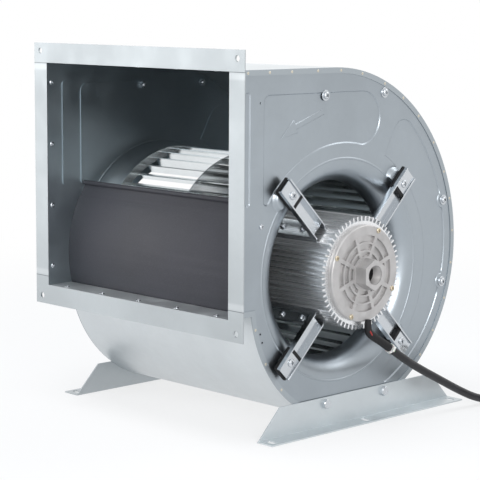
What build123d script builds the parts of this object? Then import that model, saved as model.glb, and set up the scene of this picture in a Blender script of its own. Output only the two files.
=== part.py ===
from build123d import *
import os
from math import asin, cos, degrees, pi, radians, sin, sqrt, tan

# Double-inlet centrifugal fan with a motor held in one inlet by four arms.
# Frame: +Z up, the outlet faces -Y, the shaft runs along X and the motor is on the +X side.
# The origin is the middle of the foot slots, on the floor.

# Driving dimensions of the casing, in millimetres
inner_width = 400.0
outlet_height = 341.0
front_reach = 228.0
shaft_height = 230.0
shaft_ahead = 40.0
scroll_top = 295.0
scroll_step = 36.5
sheet = 1.0
seam_lip = 7.0
edge_gap = 0.2
press_depth = 1.5

# Driving dimensions of the outlet frame
flange_strip = 30.0
flange_sheet = 1.5
flange_return = 20.0
joggle_lap = 24.0
joggle_root = 10.0
joggle_inset = 3.0
corner_hole_radius = 4.5
corner_hole_inset_x = 14.5
corner_hole_inset_z = 12.0
rivet_radius = 1.6
rivet_head_radius = 3.2
rivet_head_height = 1.2
rivet_setback = 9.5
rivet_spacing_across = 83.0
rivet_spacing_up = 94.0
rivet_first_up = 29.0

# Driving dimensions of the cutoff plate
cutoff_radius = 187.0
cutoff_sheet = 1.2
cutoff_top_angle = 145.4
cutoff_bottom_angle = 200.0
cutoff_bead_radius = 3.5
cutoff_notch_angle = 152.4
cutoff_screw_radius = 2.0
tab_angle = 154.8
tab_length = 12.0
tab_depth = 9.0

# Driving dimensions of the inlets
mouth_radius = 163.0
throat_radius = 130.0
throat_lip = 5.0

# Driving dimensions of the feet
foot_sheet = 2.0
foot_height = 45.0
foot_length = 424.0
foot_top_length = 336.0
foot_lip_edge = 232.5
foot_slot_x = 218.0
foot_slot_pitch = 198.5
foot_slot_length = 16.0
foot_slot_width = 10.0
foot_bolt_level = 35.0
foot_bolt_first = -33.0
fixing_pitch = 128.0

# Driving dimensions of the wheel
wheel_radius = 160.0
wheel_width = 310.0
blade_inner_radius = 134.0
blade_curve_radius = 24.0
blade_sweep = 75.0
blade_count = 44
blade_sheet = 0.8
blade_start_angle = 0.7
disc_sheet = 1.5
rim_sheet = 1.5
rim_depth = 14.0

# Driving dimensions of the hub and shaft
shaft_radius = 10.0
hub_flange_radius = 48.0
hub_flange_thickness = 6.0
hub_radius = 21.0
hub_length = 32.0
hub_rivet_circle = 38.0
hub_rivet_radius = 2.4
set_screw_radius = 4.0
shaft_proud = 4.0

# Driving dimensions of the motor
motor_front = 240.0
motor_length = 148.0
housing_bore_radius = 60.0
housing_radius = 76.0
fin_radius = 83.0
fin_count = 60
fin_thickness = 2.6
shield_radius = 70.5
shield_thickness = 8.0
shield_screw_circle = 66.5
shield_spoke_angle = 20.0
shield_pocket_depth = 4.0
shield_spoke_width = 6.0
spigot_depth = 6.0
spigot_clearance = 0.2
boss_across_flats = 40.0
boss_length = 20.0
boss_bore_radius = 14.0
bearing_outer_radius = 23.5
bearing_split_radius = 16.7
bearing_width = 14.0
bearing_fit = 0.05
bearing_inset = 2.0
cup_wall = 5.5
stator_length = 85.0
stator_bore_radius = 38.0
winding_length = 16.0
winding_inner_radius = 41.0
winding_outer_radius = 56.0
air_gap = 0.5

# Driving dimensions of the motor arms and their rubber mounts
arm_width = 26.0
arm_sheet = 2.0
arm_depth = 10.0
arm_reach = 190.5
arm_bolt_circle = 169.0
arm_leg_end = 125.0
arm_corner = 9.0
mount_thickness = 8.0
mount_wall = 2.0
mount_core = 4.0
mount_length = 38.0
arm_neck_radius = 7.0
arm_washer_length = 24.0
arm_washer_sheet = 2.0
arm_screw_radius = 3.0
leg_screw_pitch = 40.0
leg_screw_first = 145.0
leg_screw_radius = 2.4
land_height = 82.4
land_margin = 1.0

# Driving dimensions of the cable
cable_radius = 6.0
sleeve_root_radius = 8.0
sleeve_root_offset = (10.0, 20.0, -94.0)
sleeve_end_offset = (12.6, 47.9, -113.2)
coil_radius = 65.0
coil_turns_high = 2
coil_stub = 40.0
connector_length = 36.0
connector_width = 18.0
connector_height = 12.0

# Clearances
hole_clearance = 0.1
thread_clearance = 0.1

# Places worked out from the driving dimensions
half_width = inner_width / 2
plate_face = half_width + sheet
seam_face = plate_face + sheet
duct_floor = scroll_top - outlet_height
duct_front = -front_reach + flange_sheet
shaft_y = -shaft_ahead
shaft_origin = (0, shaft_y, shaft_height)
shaft_axis = Axis(shaft_origin, (1, 0, 0))
sides = {"motor_side": 1, "far_side": -1}
rivet_y = -front_reach + rivet_setback
side_rivet_levels = [duct_floor + rivet_first_up + rivet_spacing_up * step for step in range(4)]
side_rivet_places = [(rivet_y, level) for level in side_rivet_levels]
across_rivet_places = [(rivet_spacing_across * step, rivet_y) for step in range(-2, 3)]


def shaft_plane(x):
    """Plane across the shaft at x; its local x is +Y, its local y is +Z."""
    return Plane(origin=(x, shaft_y, shaft_height), x_dir=(0, 1, 0), z_dir=(1, 0, 0))


def radial_plane(angle):
    """Plane through the shaft; its local x is +X, its local y points outward at the angle."""
    return Plane(
        origin=shaft_origin,
        x_dir=(1, 0, 0),
        z_dir=(0, -sin(radians(angle)), cos(radians(angle))),
    )


def finish(piece, name):
    piece.part.label = name
    export_step(piece.part, "parts/" + name + ".step")


os.makedirs("parts", exist_ok=True)


# The scroll outline: four arcs that step in around a small square, then a straight duct
def scroll_face(grow, mode=Mode.ADD):
    """Face inside the scroll's inner line, moved outward by grow."""
    half_step = scroll_step / 2
    radius_top = scroll_top - half_step + grow
    radius_rear = radius_top - scroll_step
    radius_front = radius_rear - scroll_step
    top = scroll_top + grow
    floor = duct_floor - grow
    drop = degrees(asin((-half_step - floor) / radius_front))
    corner_y = half_step - radius_front * cos(radians(drop))
    with BuildLine() as outline:
        Line((duct_front, floor), (duct_front, top))
        Line((duct_front, top), (-half_step, top))
        CenterArc((-half_step, half_step), radius_top, 0, 90)
        CenterArc((half_step, half_step), radius_rear, 270, 90)
        CenterArc((half_step, -half_step), radius_front, 180 + drop, 90 - drop)
        Line((corner_y, floor), (duct_front, floor))
    make_face(outline.edges(), mode=mode)


with BuildPart() as scroll_wrapper:
    with BuildSketch(shaft_plane(-seam_face)):
        scroll_face(sheet)
        scroll_face(0, mode=Mode.SUBTRACT)
    extrude(amount=2 * seam_face)
    for side in sides.values():
        with BuildSketch(shaft_plane(side * plate_face)):
            scroll_face(sheet)
            scroll_face(-seam_lip, mode=Mode.SUBTRACT)
        extrude(amount=side * sheet)
    for edge, way in ((scroll_top, 1), (duct_floor, -1)):
        with BuildSketch(Plane.XY.offset(shaft_height + edge)):
            with Locations(*[(across, shaft_y + setback) for across, setback in across_rivet_places]):
                Circle(rivet_radius)
        extrude(amount=way * 2 * sheet, mode=Mode.SUBTRACT)
finish(scroll_wrapper, "scroll_wrapper")


# Pressed panels of the side plates
panel_left = -162.0
panel_arc_radius = 186.0
panel_arc_end = 77.0
panel_cap_radius = 40.0
panel_corner = 12.0
panel_tip = 6.0
crescent_inner_radius = 187.5
crescent_inset = 21.0
crescent_top_angle = 55.0
crescent_bottom_angle = -68.0
crescent_notch_radius = 12.0
rib_y = -193.0
rib_low = 107.0
rib_high = 266.0
rib_width = 10.0
crescent_top_corner = 24.0
crescent_low_corner = 6.0
arrow_height = 0.8
arrow_points = [(-126, 199), (-102, 223), (-98, 217), (-40, 237), (-40, 230), (-96, 211), (-94, 206)]

# Spare screws of the casing, which take the feet when the outlet points another way
casing_screw_places = [(-38.0, 256.5), (90.0, 256.5), (232.0, 86.0), (232.0, -42.0)]
foot_bolt_places = [
    (foot_bolt_first, foot_bolt_level - shaft_height),
    (foot_bolt_first + fixing_pitch, foot_bolt_level - shaft_height),
]
gauge_hole_places = [(-166.0, -74.5), (-162.0, -87.0), (-169.0, 250.0)]
gauge_hole_radius = 1.5
casing_screw_radius = 3.0
foot_bolt_radius = 4.0


def upper_panel():
    """Pressed panel above the inlet, with a round rear end and a narrow foot at the front."""
    cap_y = panel_arc_radius * cos(radians(panel_arc_end))
    arc_top = panel_arc_radius * sin(radians(panel_arc_end))
    panel_top = arc_top + 2 * panel_cap_radius
    tip_z = sqrt(panel_arc_radius ** 2 - panel_left ** 2)
    tip_angle = 180 - degrees(asin(tip_z / panel_arc_radius))
    with BuildSketch() as panel:
        with BuildLine():
            Line((panel_left, tip_z), (panel_left, panel_top))
            Line((panel_left, panel_top), (cap_y, panel_top))
            CenterArc((cap_y, arc_top + panel_cap_radius), panel_cap_radius, -90, 180)
            CenterArc((0, 0), panel_arc_radius, panel_arc_end, tip_angle - panel_arc_end)
        make_face()
        fillet(panel.vertices().group_by(Axis.X)[0].sort_by(Axis.Y)[-1], radius=panel_corner)
        fillet(panel.vertices().group_by(Axis.X)[0].sort_by(Axis.Y)[0], radius=panel_tip)
    return panel.sketch


def crescent_panel():
    """Pressed panel behind the inlet, between the mouth and the scroll's edge."""
    half_step = scroll_step / 2
    radius_top = scroll_top - half_step - crescent_inset
    radius_rear = radius_top - scroll_step
    top_y = -half_step + radius_top * cos(radians(crescent_top_angle))
    top_z = half_step + radius_top * sin(radians(crescent_top_angle))
    low_y = half_step + radius_rear * cos(radians(crescent_bottom_angle))
    low_z = half_step + radius_rear * sin(radians(crescent_bottom_angle))
    top_scale = crescent_inner_radius / sqrt(top_y ** 2 + top_z ** 2)
    low_scale = crescent_inner_radius / sqrt(low_y ** 2 + low_z ** 2)
    inner_top = (top_y * top_scale, top_z * top_scale)
    inner_low = (low_y * low_scale, low_z * low_scale)
    with BuildSketch() as panel:
        with BuildLine():
            CenterArc((-half_step, half_step), radius_top, 0, crescent_top_angle)
            CenterArc((half_step, half_step), radius_rear, crescent_bottom_angle, -crescent_bottom_angle)
            Line((low_y, low_z), inner_low)
            ThreePointArc(inner_low, (crescent_inner_radius, 0), inner_top)
            Line(inner_top, (top_y, top_z))
        make_face()
        fillet(panel.vertices().sort_by(Axis.Y)[-1], radius=crescent_top_corner)
        fillet(panel.vertices().sort_by(Axis.Y)[:2], radius=crescent_low_corner)
        with Locations(*casing_screw_places[2:]):
            Circle(crescent_notch_radius, mode=Mode.SUBTRACT)
    return panel.sketch


def rib_panel():
    """Upright pressed rib beside the outlet frame."""
    with BuildSketch() as panel:
        with Locations((rib_y, (rib_low + rib_high) / 2)):
            SlotOverall(rib_high - rib_low, rib_width, rotation=90)
    return panel.sketch


def arrow_face():
    """Arrow that shows which way the wheel turns."""
    with BuildSketch() as arrow:
        with BuildLine():
            Polyline(arrow_points, close=True)
        make_face()
    return arrow.sketch


def bell_mouth(side):
    """Quarter-round inlet with a short straight lip, spun about the shaft."""
    bell = mouth_radius - throat_radius
    root = plate_face - bell
    centre = (side * root, mouth_radius)
    first = 270 if side > 0 else 180
    with BuildSketch(radial_plane(90)) as section:
        with BuildLine():
            CenterArc(centre, bell, first, 90)
            CenterArc(centre, bell - sheet, first, 90)
            Line((side * plate_face, mouth_radius), (side * half_width, mouth_radius))
            Line((side * root, throat_radius), (side * (root - throat_lip), throat_radius))
            Line((side * (root - throat_lip), throat_radius), (side * (root - throat_lip), throat_radius + sheet))
            Line((side * (root - throat_lip), throat_radius + sheet), (side * root, throat_radius + sheet))
        make_face()
    revolve(section.sketch, axis=shaft_axis)


def side_plate(side):
    """One side of the casing, with its inlet, pressed panels and holes."""
    with BuildPart() as plate:
        with BuildSketch(shaft_plane(side * half_width)):
            scroll_face(-edge_gap)
            Circle(mouth_radius, mode=Mode.SUBTRACT)
        extrude(amount=side * sheet)
        bell_mouth(side)
        for panel in (upper_panel(), crescent_panel(), rib_panel()):
            with BuildSketch(shaft_plane(side * half_width)):
                add(panel)
                offset(amount=sheet, kind=Kind.ARC)
            extrude(amount=-side * press_depth)
            with BuildSketch(shaft_plane(side * plate_face)):
                add(panel)
            extrude(amount=-side * press_depth, mode=Mode.SUBTRACT)
        with BuildSketch(shaft_plane(side * (plate_face - press_depth))):
            add(arrow_face())
        extrude(amount=side * arrow_height)
        with BuildSketch(shaft_plane(side * plate_face)):
            with Locations(*casing_screw_places):
                Circle(casing_screw_radius + hole_clearance)
            with Locations(*foot_bolt_places):
                Circle(foot_bolt_radius + hole_clearance)
            with Locations(*gauge_hole_places):
                Circle(gauge_hole_radius)
            with PolarLocations(arm_bolt_circle, 4, start_angle=45):
                Circle(arm_screw_radius + hole_clearance)
            with PolarLocations(cutoff_radius - tab_depth / 2, 1, start_angle=tab_angle):
                Circle(cutoff_screw_radius + hole_clearance)
            with Locations(*side_rivet_places):
                Circle(rivet_radius)
        extrude(amount=-side * 3 * press_depth, mode=Mode.SUBTRACT)
    return plate


for side_name, side in sides.items():
    finish(side_plate(side), "side_plate_" + side_name)


# Cutoff plate: a curved wall close to the wheel, with a rolled upper edge and screwed end tabs
with BuildPart() as cutoff_plate:
    cutoff_span = cutoff_bottom_angle - cutoff_top_angle
    with BuildSketch(shaft_plane(-half_width)):
        with BuildLine():
            CenterArc((0, 0), cutoff_radius, cutoff_top_angle, cutoff_span)
            CenterArc((0, 0), cutoff_radius + cutoff_sheet, cutoff_top_angle, cutoff_span)
            for angle in (cutoff_top_angle, cutoff_bottom_angle):
                direction = Vector(cos(radians(angle)), sin(radians(angle)))
                Line(direction * cutoff_radius, direction * (cutoff_radius + cutoff_sheet))
        make_face()
        with PolarLocations(cutoff_radius + cutoff_bead_radius, 1, start_angle=cutoff_top_angle):
            Circle(cutoff_bead_radius)
    extrude(amount=inner_width)
    for side in sides.values():
        with BuildSketch(shaft_plane(side * half_width)):
            with PolarLocations(cutoff_radius - tab_depth / 2, 1, start_angle=tab_angle):
                Rectangle(tab_depth + cutoff_sheet, tab_length)
                Circle(cutoff_screw_radius + hole_clearance, mode=Mode.SUBTRACT)
        extrude(amount=-side * cutoff_sheet)
    notch_span = cutoff_notch_angle - cutoff_top_angle
    notch_half = (cutoff_notch_angle + cutoff_top_angle) / 2 - notch_span
    for side in sides.values():
        with BuildSketch(shaft_plane(side * half_width)):
            with BuildLine():
                notch_edge = CenterArc((0, 0), cutoff_radius + 4 * cutoff_bead_radius, notch_half, 1.5 * notch_span)
                Line((0, 0), notch_edge @ 0)
                Line((0, 0), notch_edge @ 1)
            make_face()
        extrude(amount=-side * (press_depth + edge_gap), mode=Mode.SUBTRACT)
finish(cutoff_plate, "cutoff_plate")


# Screws of the cutoff plate, through each side plate into its tab
with BuildPart() as cutoff_screws:
    for side in sides.values():
        screw_plane = shaft_plane(side * plate_face)
        with BuildSketch(screw_plane):
            with PolarLocations(cutoff_radius - tab_depth / 2, 1, start_angle=tab_angle):
                Circle(2 * cutoff_screw_radius)
        extrude(amount=side * cutoff_screw_radius)
        with BuildSketch(screw_plane):
            with PolarLocations(cutoff_radius - tab_depth / 2, 1, start_angle=tab_angle):
                Circle(cutoff_screw_radius)
        extrude(amount=-side * (sheet + 3 * cutoff_sheet))
finish(cutoff_screws, "cutoff_screws")


# Outlet frame: two long strips across and two upright strips with joggled ends behind them
flange_face = shaft_y - front_reach
flange_half = half_width + flange_strip
frame_front = Plane(origin=(0, flange_face, shaft_height), x_dir=(1, 0, 0), z_dir=(0, -1, 0))
frame_back = frame_front.offset(-flange_sheet)
corner_hole_x = flange_half - corner_hole_inset_x
frame_edges = {"top": (scroll_top, 1), "bottom": (duct_floor, -1)}
corner_hole_levels = [edge + way * (flange_strip - corner_hole_inset_z) for edge, way in frame_edges.values()]

for edge_name, (edge, way) in frame_edges.items():
    with BuildPart() as flange_across:
        with BuildSketch(frame_front):
            with Locations((0, edge + way * flange_strip / 2)):
                Rectangle(2 * flange_half, flange_strip)
            with Locations((-corner_hole_x, corner_hole_levels[0]), (corner_hole_x, corner_hole_levels[0])):
                Circle(corner_hole_radius, mode=Mode.SUBTRACT)
            with Locations((-corner_hole_x, corner_hole_levels[1]), (corner_hole_x, corner_hole_levels[1])):
                Circle(corner_hole_radius, mode=Mode.SUBTRACT)
        extrude(amount=-flange_sheet)
        with BuildSketch(frame_back):
            with Locations((0, edge + way * (sheet + flange_sheet / 2))):
                Rectangle(2 * seam_face, flange_sheet)
        extrude(amount=-flange_return)
        with BuildSketch(Plane.XY.offset(shaft_height + edge)):
            with Locations(*[(across, shaft_y + setback) for across, setback in across_rivet_places]):
                Circle(rivet_radius)
        extrude(amount=way * 3 * flange_sheet, mode=Mode.SUBTRACT)
    finish(flange_across, "flange_" + edge_name)

for side_name, side in sides.items():
    with BuildPart() as flange_upright:
        with BuildSketch(frame_front):
            with Locations((side * (half_width + flange_strip / 2), (scroll_top + duct_floor) / 2)):
                Rectangle(flange_strip, outlet_height)
        extrude(amount=-flange_sheet)
        with BuildSketch(frame_back):
            for edge, way in frame_edges.values():
                with Locations(
                    (
                        side * (half_width + flange_strip / 2 + joggle_inset / 2),
                        edge + way * (joggle_lap - joggle_root) / 2,
                    )
                ):
                    Rectangle(flange_strip - 2 * joggle_inset, joggle_lap + joggle_root)
            with Locations(*[(side * corner_hole_x, level) for level in corner_hole_levels]):
                Circle(corner_hole_radius, mode=Mode.SUBTRACT)
        extrude(amount=-flange_sheet)
        with BuildSketch(frame_back):
            with Locations((side * (plate_face + flange_sheet / 2), (scroll_top + duct_floor) / 2)):
                Rectangle(flange_sheet, outlet_height - 2 * (seam_lip + edge_gap))
        extrude(amount=-flange_return)
        with BuildSketch(shaft_plane(side * plate_face)):
            with Locations(*side_rivet_places):
                Circle(rivet_radius)
        extrude(amount=side * 3 * flange_sheet, mode=Mode.SUBTRACT)
    finish(flange_upright, "flange_" + side_name)


# Blind rivets that hold the frame's return legs to the casing
with BuildPart() as flange_rivets:
    grip = sheet + flange_sheet
    for side in sides.values():
        for distance, radius, length in (
            (half_width, rivet_head_radius, -rivet_head_height),
            (half_width, rivet_radius, grip),
            (half_width + grip, 1.5 * rivet_radius, rivet_head_height),
        ):
            with BuildSketch(shaft_plane(side * distance)):
                with Locations(*side_rivet_places):
                    Circle(radius)
            extrude(amount=side * length)
    for edge, way in frame_edges.values():
        for distance, radius, length in (
            (0, rivet_head_radius, -rivet_head_height),
            (0, rivet_radius, grip),
            (grip, 1.5 * rivet_radius, rivet_head_height),
        ):
            with BuildSketch(Plane.XY.offset(shaft_height + edge + way * distance)):
                with Locations(*[(across, shaft_y + setback) for across, setback in across_rivet_places]):
                    Circle(radius)
            extrude(amount=way * length)
finish(flange_rivets, "flange_rivets")


# Feet: an upright web against the seam and a lip with three slots on the floor
for side_name, side in sides.items():
    with BuildPart() as foot_rail:
        with BuildSketch(Plane(origin=(side * seam_face, 0, 0), x_dir=(0, 1, 0), z_dir=(1, 0, 0))):
            with BuildLine():
                Polyline(
                    (-foot_length / 2, 0),
                    (foot_length / 2, 0),
                    (foot_top_length / 2, foot_height),
                    (-foot_top_length / 2, foot_height),
                    close=True,
                )
            make_face()
            with Locations(*[(shaft_y + place[0], shaft_height + place[1]) for place in foot_bolt_places]):
                Circle(foot_bolt_radius + hole_clearance, mode=Mode.SUBTRACT)
        extrude(amount=side * foot_sheet)
        lip_width = foot_lip_edge - seam_face
        with BuildSketch(Plane.XY):
            with Locations((side * (seam_face + lip_width / 2), 0)):
                Rectangle(lip_width, foot_length)
            with Locations((side * foot_slot_x, 0)):
                with GridLocations(1, foot_slot_pitch, 1, 3):
                    SlotOverall(foot_slot_length, foot_slot_width, mode=Mode.SUBTRACT)
        extrude(amount=foot_sheet)
    finish(foot_rail, "foot_rail_" + side_name)


# Foot bolts with hexagon heads outside and nuts inside the casing
foot_head_across = 13.0
foot_head_height = 5.3
foot_nut_height = 6.5
foot_bolt_end = 3.0

with BuildPart() as foot_bolts:
    for side in sides.values():
        web_face = seam_face + foot_sheet
        with BuildSketch(shaft_plane(side * web_face)):
            with Locations(*foot_bolt_places):
                RegularPolygon(foot_head_across / 2, 6, major_radius=False)
        extrude(amount=side * foot_head_height)
        with BuildSketch(shaft_plane(side * web_face)):
            with Locations(*foot_bolt_places):
                Circle(foot_bolt_radius - thread_clearance)
        extrude(amount=-side * (web_face - half_width + foot_nut_height + foot_bolt_end))
finish(foot_bolts, "foot_bolts")

with BuildPart() as foot_nuts:
    for side in sides.values():
        with BuildSketch(shaft_plane(side * half_width)):
            with Locations(*foot_bolt_places):
                RegularPolygon(foot_head_across / 2, 6, major_radius=False)
                Circle(foot_bolt_radius, mode=Mode.SUBTRACT)
        extrude(amount=-side * foot_nut_height)
finish(foot_nuts, "foot_nuts")


# Spare casing screws: a washer and a low round head outside, a nut inside
casing_washer_radius = 6.5
casing_washer_sheet = 1.2
casing_head_radius = 5.0
casing_head_height = 3.0
casing_nut_across = 10.0
casing_nut_height = 5.0
casing_screw_end = 3.0
casing_nut_seats = [press_depth, press_depth, 0.0, 0.0]

with BuildPart() as casing_screws:
    for side in sides.values():
        for distance, radius, length in (
            (plate_face, casing_washer_radius, casing_washer_sheet),
            (plate_face + casing_washer_sheet, casing_head_radius, casing_head_height),
            (plate_face, casing_screw_radius - thread_clearance,
             -(sheet + press_depth + casing_nut_height + casing_screw_end)),
        ):
            with BuildSketch(shaft_plane(side * distance)):
                with Locations(*casing_screw_places):
                    Circle(radius)
            extrude(amount=side * length)
finish(casing_screws, "casing_screws")

with BuildPart() as casing_nuts:
    for side in sides.values():
        for place, seat in zip(casing_screw_places, casing_nut_seats):
            with BuildSketch(shaft_plane(side * (half_width - seat))):
                with Locations(place):
                    RegularPolygon(casing_nut_across / 2, 6, major_radius=False)
                    Circle(casing_screw_radius, mode=Mode.SUBTRACT)
            extrude(amount=-side * casing_nut_height)
finish(casing_nuts, "casing_nuts")


# Wheel: a middle disc, two rings of forward-curved blades and an end ring on each
with BuildPart() as wheel_disc:
    with BuildSketch(shaft_plane(-disc_sheet / 2)):
        Circle(wheel_radius)
        Circle(shaft_radius + 2, mode=Mode.SUBTRACT)
        with PolarLocations(hub_rivet_circle, 6):
            Circle(hub_rivet_radius, mode=Mode.SUBTRACT)
    extrude(amount=disc_sheet)
finish(wheel_disc, "wheel_disc")

with BuildSketch() as blade_section:
    blade_centre = (blade_inner_radius, blade_curve_radius)
    blade_outside = blade_curve_radius + blade_sheet / 2
    blade_inside = blade_curve_radius - blade_sheet / 2
    with BuildLine():
        outside = CenterArc(blade_centre, blade_outside, 270, blade_sweep)
        inside = CenterArc(blade_centre, blade_inside, 270, blade_sweep)
        Line(outside @ 0, inside @ 0)
        Line(outside @ 1, inside @ 1)
    make_face()

blade_length = wheel_width / 2 - rim_sheet - disc_sheet / 2
for side_name, side in sides.items():
    with BuildPart() as blades:
        with BuildSketch(shaft_plane(side * disc_sheet / 2)):
            with PolarLocations(0, blade_count, start_angle=blade_start_angle):
                add(blade_section.sketch)
        extrude(amount=side * blade_length)
    finish(blades, "blades_" + side_name)
    with BuildPart() as wheel_rim:
        with BuildSketch(shaft_plane(side * (wheel_width / 2 - rim_sheet))):
            Circle(wheel_radius)
            Circle(wheel_radius - rim_depth, mode=Mode.SUBTRACT)
        extrude(amount=side * rim_sheet)
    finish(wheel_rim, "wheel_rim_" + side_name)


# Hub on the far face of the disc, its rivets and its set screw
hub_face = -disc_sheet / 2
hub_flange_back = hub_face - hub_flange_thickness
hub_back = hub_flange_back - hub_length
set_screw_x = (hub_flange_back + hub_back) / 2

with BuildPart() as wheel_hub:
    with BuildSketch(shaft_plane(hub_face)):
        Circle(hub_flange_radius)
        with PolarLocations(hub_rivet_circle, 6):
            Circle(hub_rivet_radius, mode=Mode.SUBTRACT)
    extrude(amount=-hub_flange_thickness)
    with BuildSketch(shaft_plane(hub_flange_back)):
        Circle(hub_radius)
    extrude(amount=-hub_length)
    with BuildSketch(shaft_plane(hub_face)):
        Circle(shaft_radius)
    extrude(amount=-(hub_flange_thickness + hub_length), mode=Mode.SUBTRACT)
    with BuildSketch(Plane(origin=(set_screw_x, shaft_y, shaft_height))):
        Circle(set_screw_radius)
    extrude(amount=2 * hub_radius, mode=Mode.SUBTRACT)
finish(wheel_hub, "wheel_hub")

with BuildPart() as hub_rivets:
    rivet_grip = hub_flange_thickness + disc_sheet
    for start, radius, length in (
        (disc_sheet / 2, 2 * hub_rivet_radius, hub_rivet_radius),
        (disc_sheet / 2, hub_rivet_radius, -rivet_grip),
        (disc_sheet / 2 - rivet_grip, 2 * hub_rivet_radius, -hub_rivet_radius),
    ):
        with BuildSketch(shaft_plane(start)):
            with PolarLocations(hub_rivet_circle, 6):
                Circle(radius)
        extrude(amount=length)
finish(hub_rivets, "hub_rivets")

with BuildPart() as hub_set_screw:
    with BuildSketch(Plane(origin=(set_screw_x, shaft_y, shaft_height + shaft_radius + thread_clearance))):
        Circle(set_screw_radius - thread_clearance)
    extrude(amount=hub_radius - shaft_radius)
    with BuildSketch(Plane(origin=(set_screw_x, shaft_y, shaft_height + hub_radius + thread_clearance))):
        RegularPolygon(set_screw_radius / 2, 6)
    extrude(amount=-set_screw_radius, mode=Mode.SUBTRACT)
finish(hub_set_screw, "hub_set_screw")


# Motor housing: a thick tube with fins along it and four lands for the arm legs
motor_back = motor_front - motor_length
arm_back = plate_face + mount_thickness
arm_front = arm_back + arm_depth
arm_angles = [45 + 90 * index for index in range(4)]
leg_screw_places = [leg_screw_first, leg_screw_first + leg_screw_pitch]
leg_base = land_height + arm_depth
leg_screw_end = 74.0
land_root = 66.0
shield_screw_start = shield_spoke_angle + 45
shield_screw_depth = 10.0
shield_screw_radius = 2.0

with BuildPart() as motor_housing:
    with BuildSketch(shaft_plane(motor_back)):
        Circle(housing_radius)
        with PolarLocations((housing_radius + fin_radius) / 2 - 0.5, fin_count):
            Rectangle(fin_radius - housing_radius + 1, fin_thickness)
    extrude(amount=motor_length)
    for angle in arm_angles:
        with BuildSketch(radial_plane(angle)):
            with Locations(((arm_leg_end + arm_front) / 2, (land_root + land_height) / 2)):
                Rectangle(arm_front - arm_leg_end + 2 * land_margin, land_height - land_root)
        extrude(amount=arm_width / 2 + land_margin, both=True)
    with BuildSketch(shaft_plane(motor_back)):
        Circle(housing_bore_radius)
    extrude(amount=motor_length, mode=Mode.SUBTRACT)
    for face_x, way in ((motor_front, -1), (motor_back, 1)):
        with BuildSketch(shaft_plane(face_x)):
            with PolarLocations(shield_screw_circle, 4, start_angle=shield_screw_start):
                Circle(shield_screw_radius + hole_clearance)
        extrude(amount=way * (shield_screw_depth + 1), mode=Mode.SUBTRACT)
    for angle in arm_angles:
        outward = radial_plane(angle).y_dir
        for place in leg_screw_places:
            start = Vector(place, shaft_y, shaft_height) + outward * (leg_screw_end - 1)
            with BuildSketch(Plane(origin=start, z_dir=outward)):
                Circle(leg_screw_radius + hole_clearance)
            extrude(amount=leg_base, mode=Mode.SUBTRACT)
finish(motor_housing, "motor_housing")


def end_shield(face_x, way):
    """Cast cover of the motor; way is +1 for the outer end and -1 for the end inside the wheel."""
    bearing_floor = face_x + way * (shield_thickness - bearing_inset)
    with BuildPart() as shield:
        with BuildSketch(shaft_plane(face_x)):
            Circle(shield_radius)
        extrude(amount=way * shield_thickness)
        chamfer(shield.faces().sort_by(Axis.X)[-1 if way > 0 else 0].outer_wire().edges(), length=1.5)
        with BuildSketch(shaft_plane(face_x)):
            Circle(housing_bore_radius - spigot_clearance)
            Circle(housing_bore_radius - spigot_clearance - 4, mode=Mode.SUBTRACT)
            Circle(bearing_outer_radius + cup_wall)
        extrude(amount=-way * spigot_depth)
        with BuildSketch(shaft_plane(bearing_floor)):
            Circle(bearing_outer_radius + hole_clearance)
        extrude(amount=-way * 2 * bearing_width, mode=Mode.SUBTRACT)
        with BuildSketch(shaft_plane(face_x + way * shield_thickness)):
            with PolarLocations(shield_screw_circle, 4, start_angle=shield_screw_start):
                Circle(shield_screw_radius + hole_clearance)
        extrude(amount=-way * 2 * shield_thickness, mode=Mode.SUBTRACT)
        for inner, outer in shield_pocket_rings:
            with BuildSketch(shaft_plane(face_x + way * shield_thickness)):
                Circle(outer)
                Circle(inner, mode=Mode.SUBTRACT)
                with PolarLocations(0, 4, start_angle=shield_spoke_angle):
                    Rectangle(3 * outer, shield_spoke_width, mode=Mode.SUBTRACT)
            extrude(amount=-way * shield_pocket_depth, mode=Mode.SUBTRACT)
    return shield


shield_pocket_rings = [(46.0, 56.0), (34.5, 43.5), (25.5, 31.5)]

with BuildPart() as end_shield_outer:
    add(end_shield(motor_front, 1).part)
    with BuildSketch(shaft_plane(motor_front + shield_thickness)):
        RegularPolygon(boss_across_flats / 2, 6, major_radius=False, rotation=30)
    extrude(amount=boss_length)
    with BuildSketch(shaft_plane(motor_front + shield_thickness - bearing_inset)):
        Circle(boss_bore_radius)
    extrude(amount=boss_length + bearing_inset, mode=Mode.SUBTRACT)
finish(end_shield_outer, "end_shield_outer")

with BuildPart() as end_shield_inner:
    add(end_shield(motor_back, -1).part)
    with BuildSketch(shaft_plane(motor_back - shield_thickness)):
        Circle(shaft_radius + 1)
    extrude(amount=shield_thickness, mode=Mode.SUBTRACT)
finish(end_shield_inner, "end_shield_inner")

with BuildPart() as shield_screws:
    for face_x, way in ((motor_front + shield_thickness, 1), (motor_back - shield_thickness, -1)):
        with BuildSketch(shaft_plane(face_x)):
            with PolarLocations(shield_screw_circle, 4, start_angle=shield_screw_start):
                Circle(2 * shield_screw_radius)
        extrude(amount=way * shield_screw_radius)
        with BuildSketch(shaft_plane(face_x)):
            with PolarLocations(shield_screw_circle, 4, start_angle=shield_screw_start):
                Circle(shield_screw_radius)
        extrude(amount=-way * (shield_thickness + shield_screw_depth))
finish(shield_screws, "shield_screws")


# Bearings, shaft, rotor and stator inside the motor
bearing_gap = 0.1
bearing_starts = {
    "outboard": (motor_front + shield_thickness - bearing_inset - bearing_gap, -1),
    "inboard": (motor_back - shield_thickness + bearing_inset + bearing_gap, 1),
}
stator_start = motor_back + (motor_length - stator_length) / 2

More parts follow.
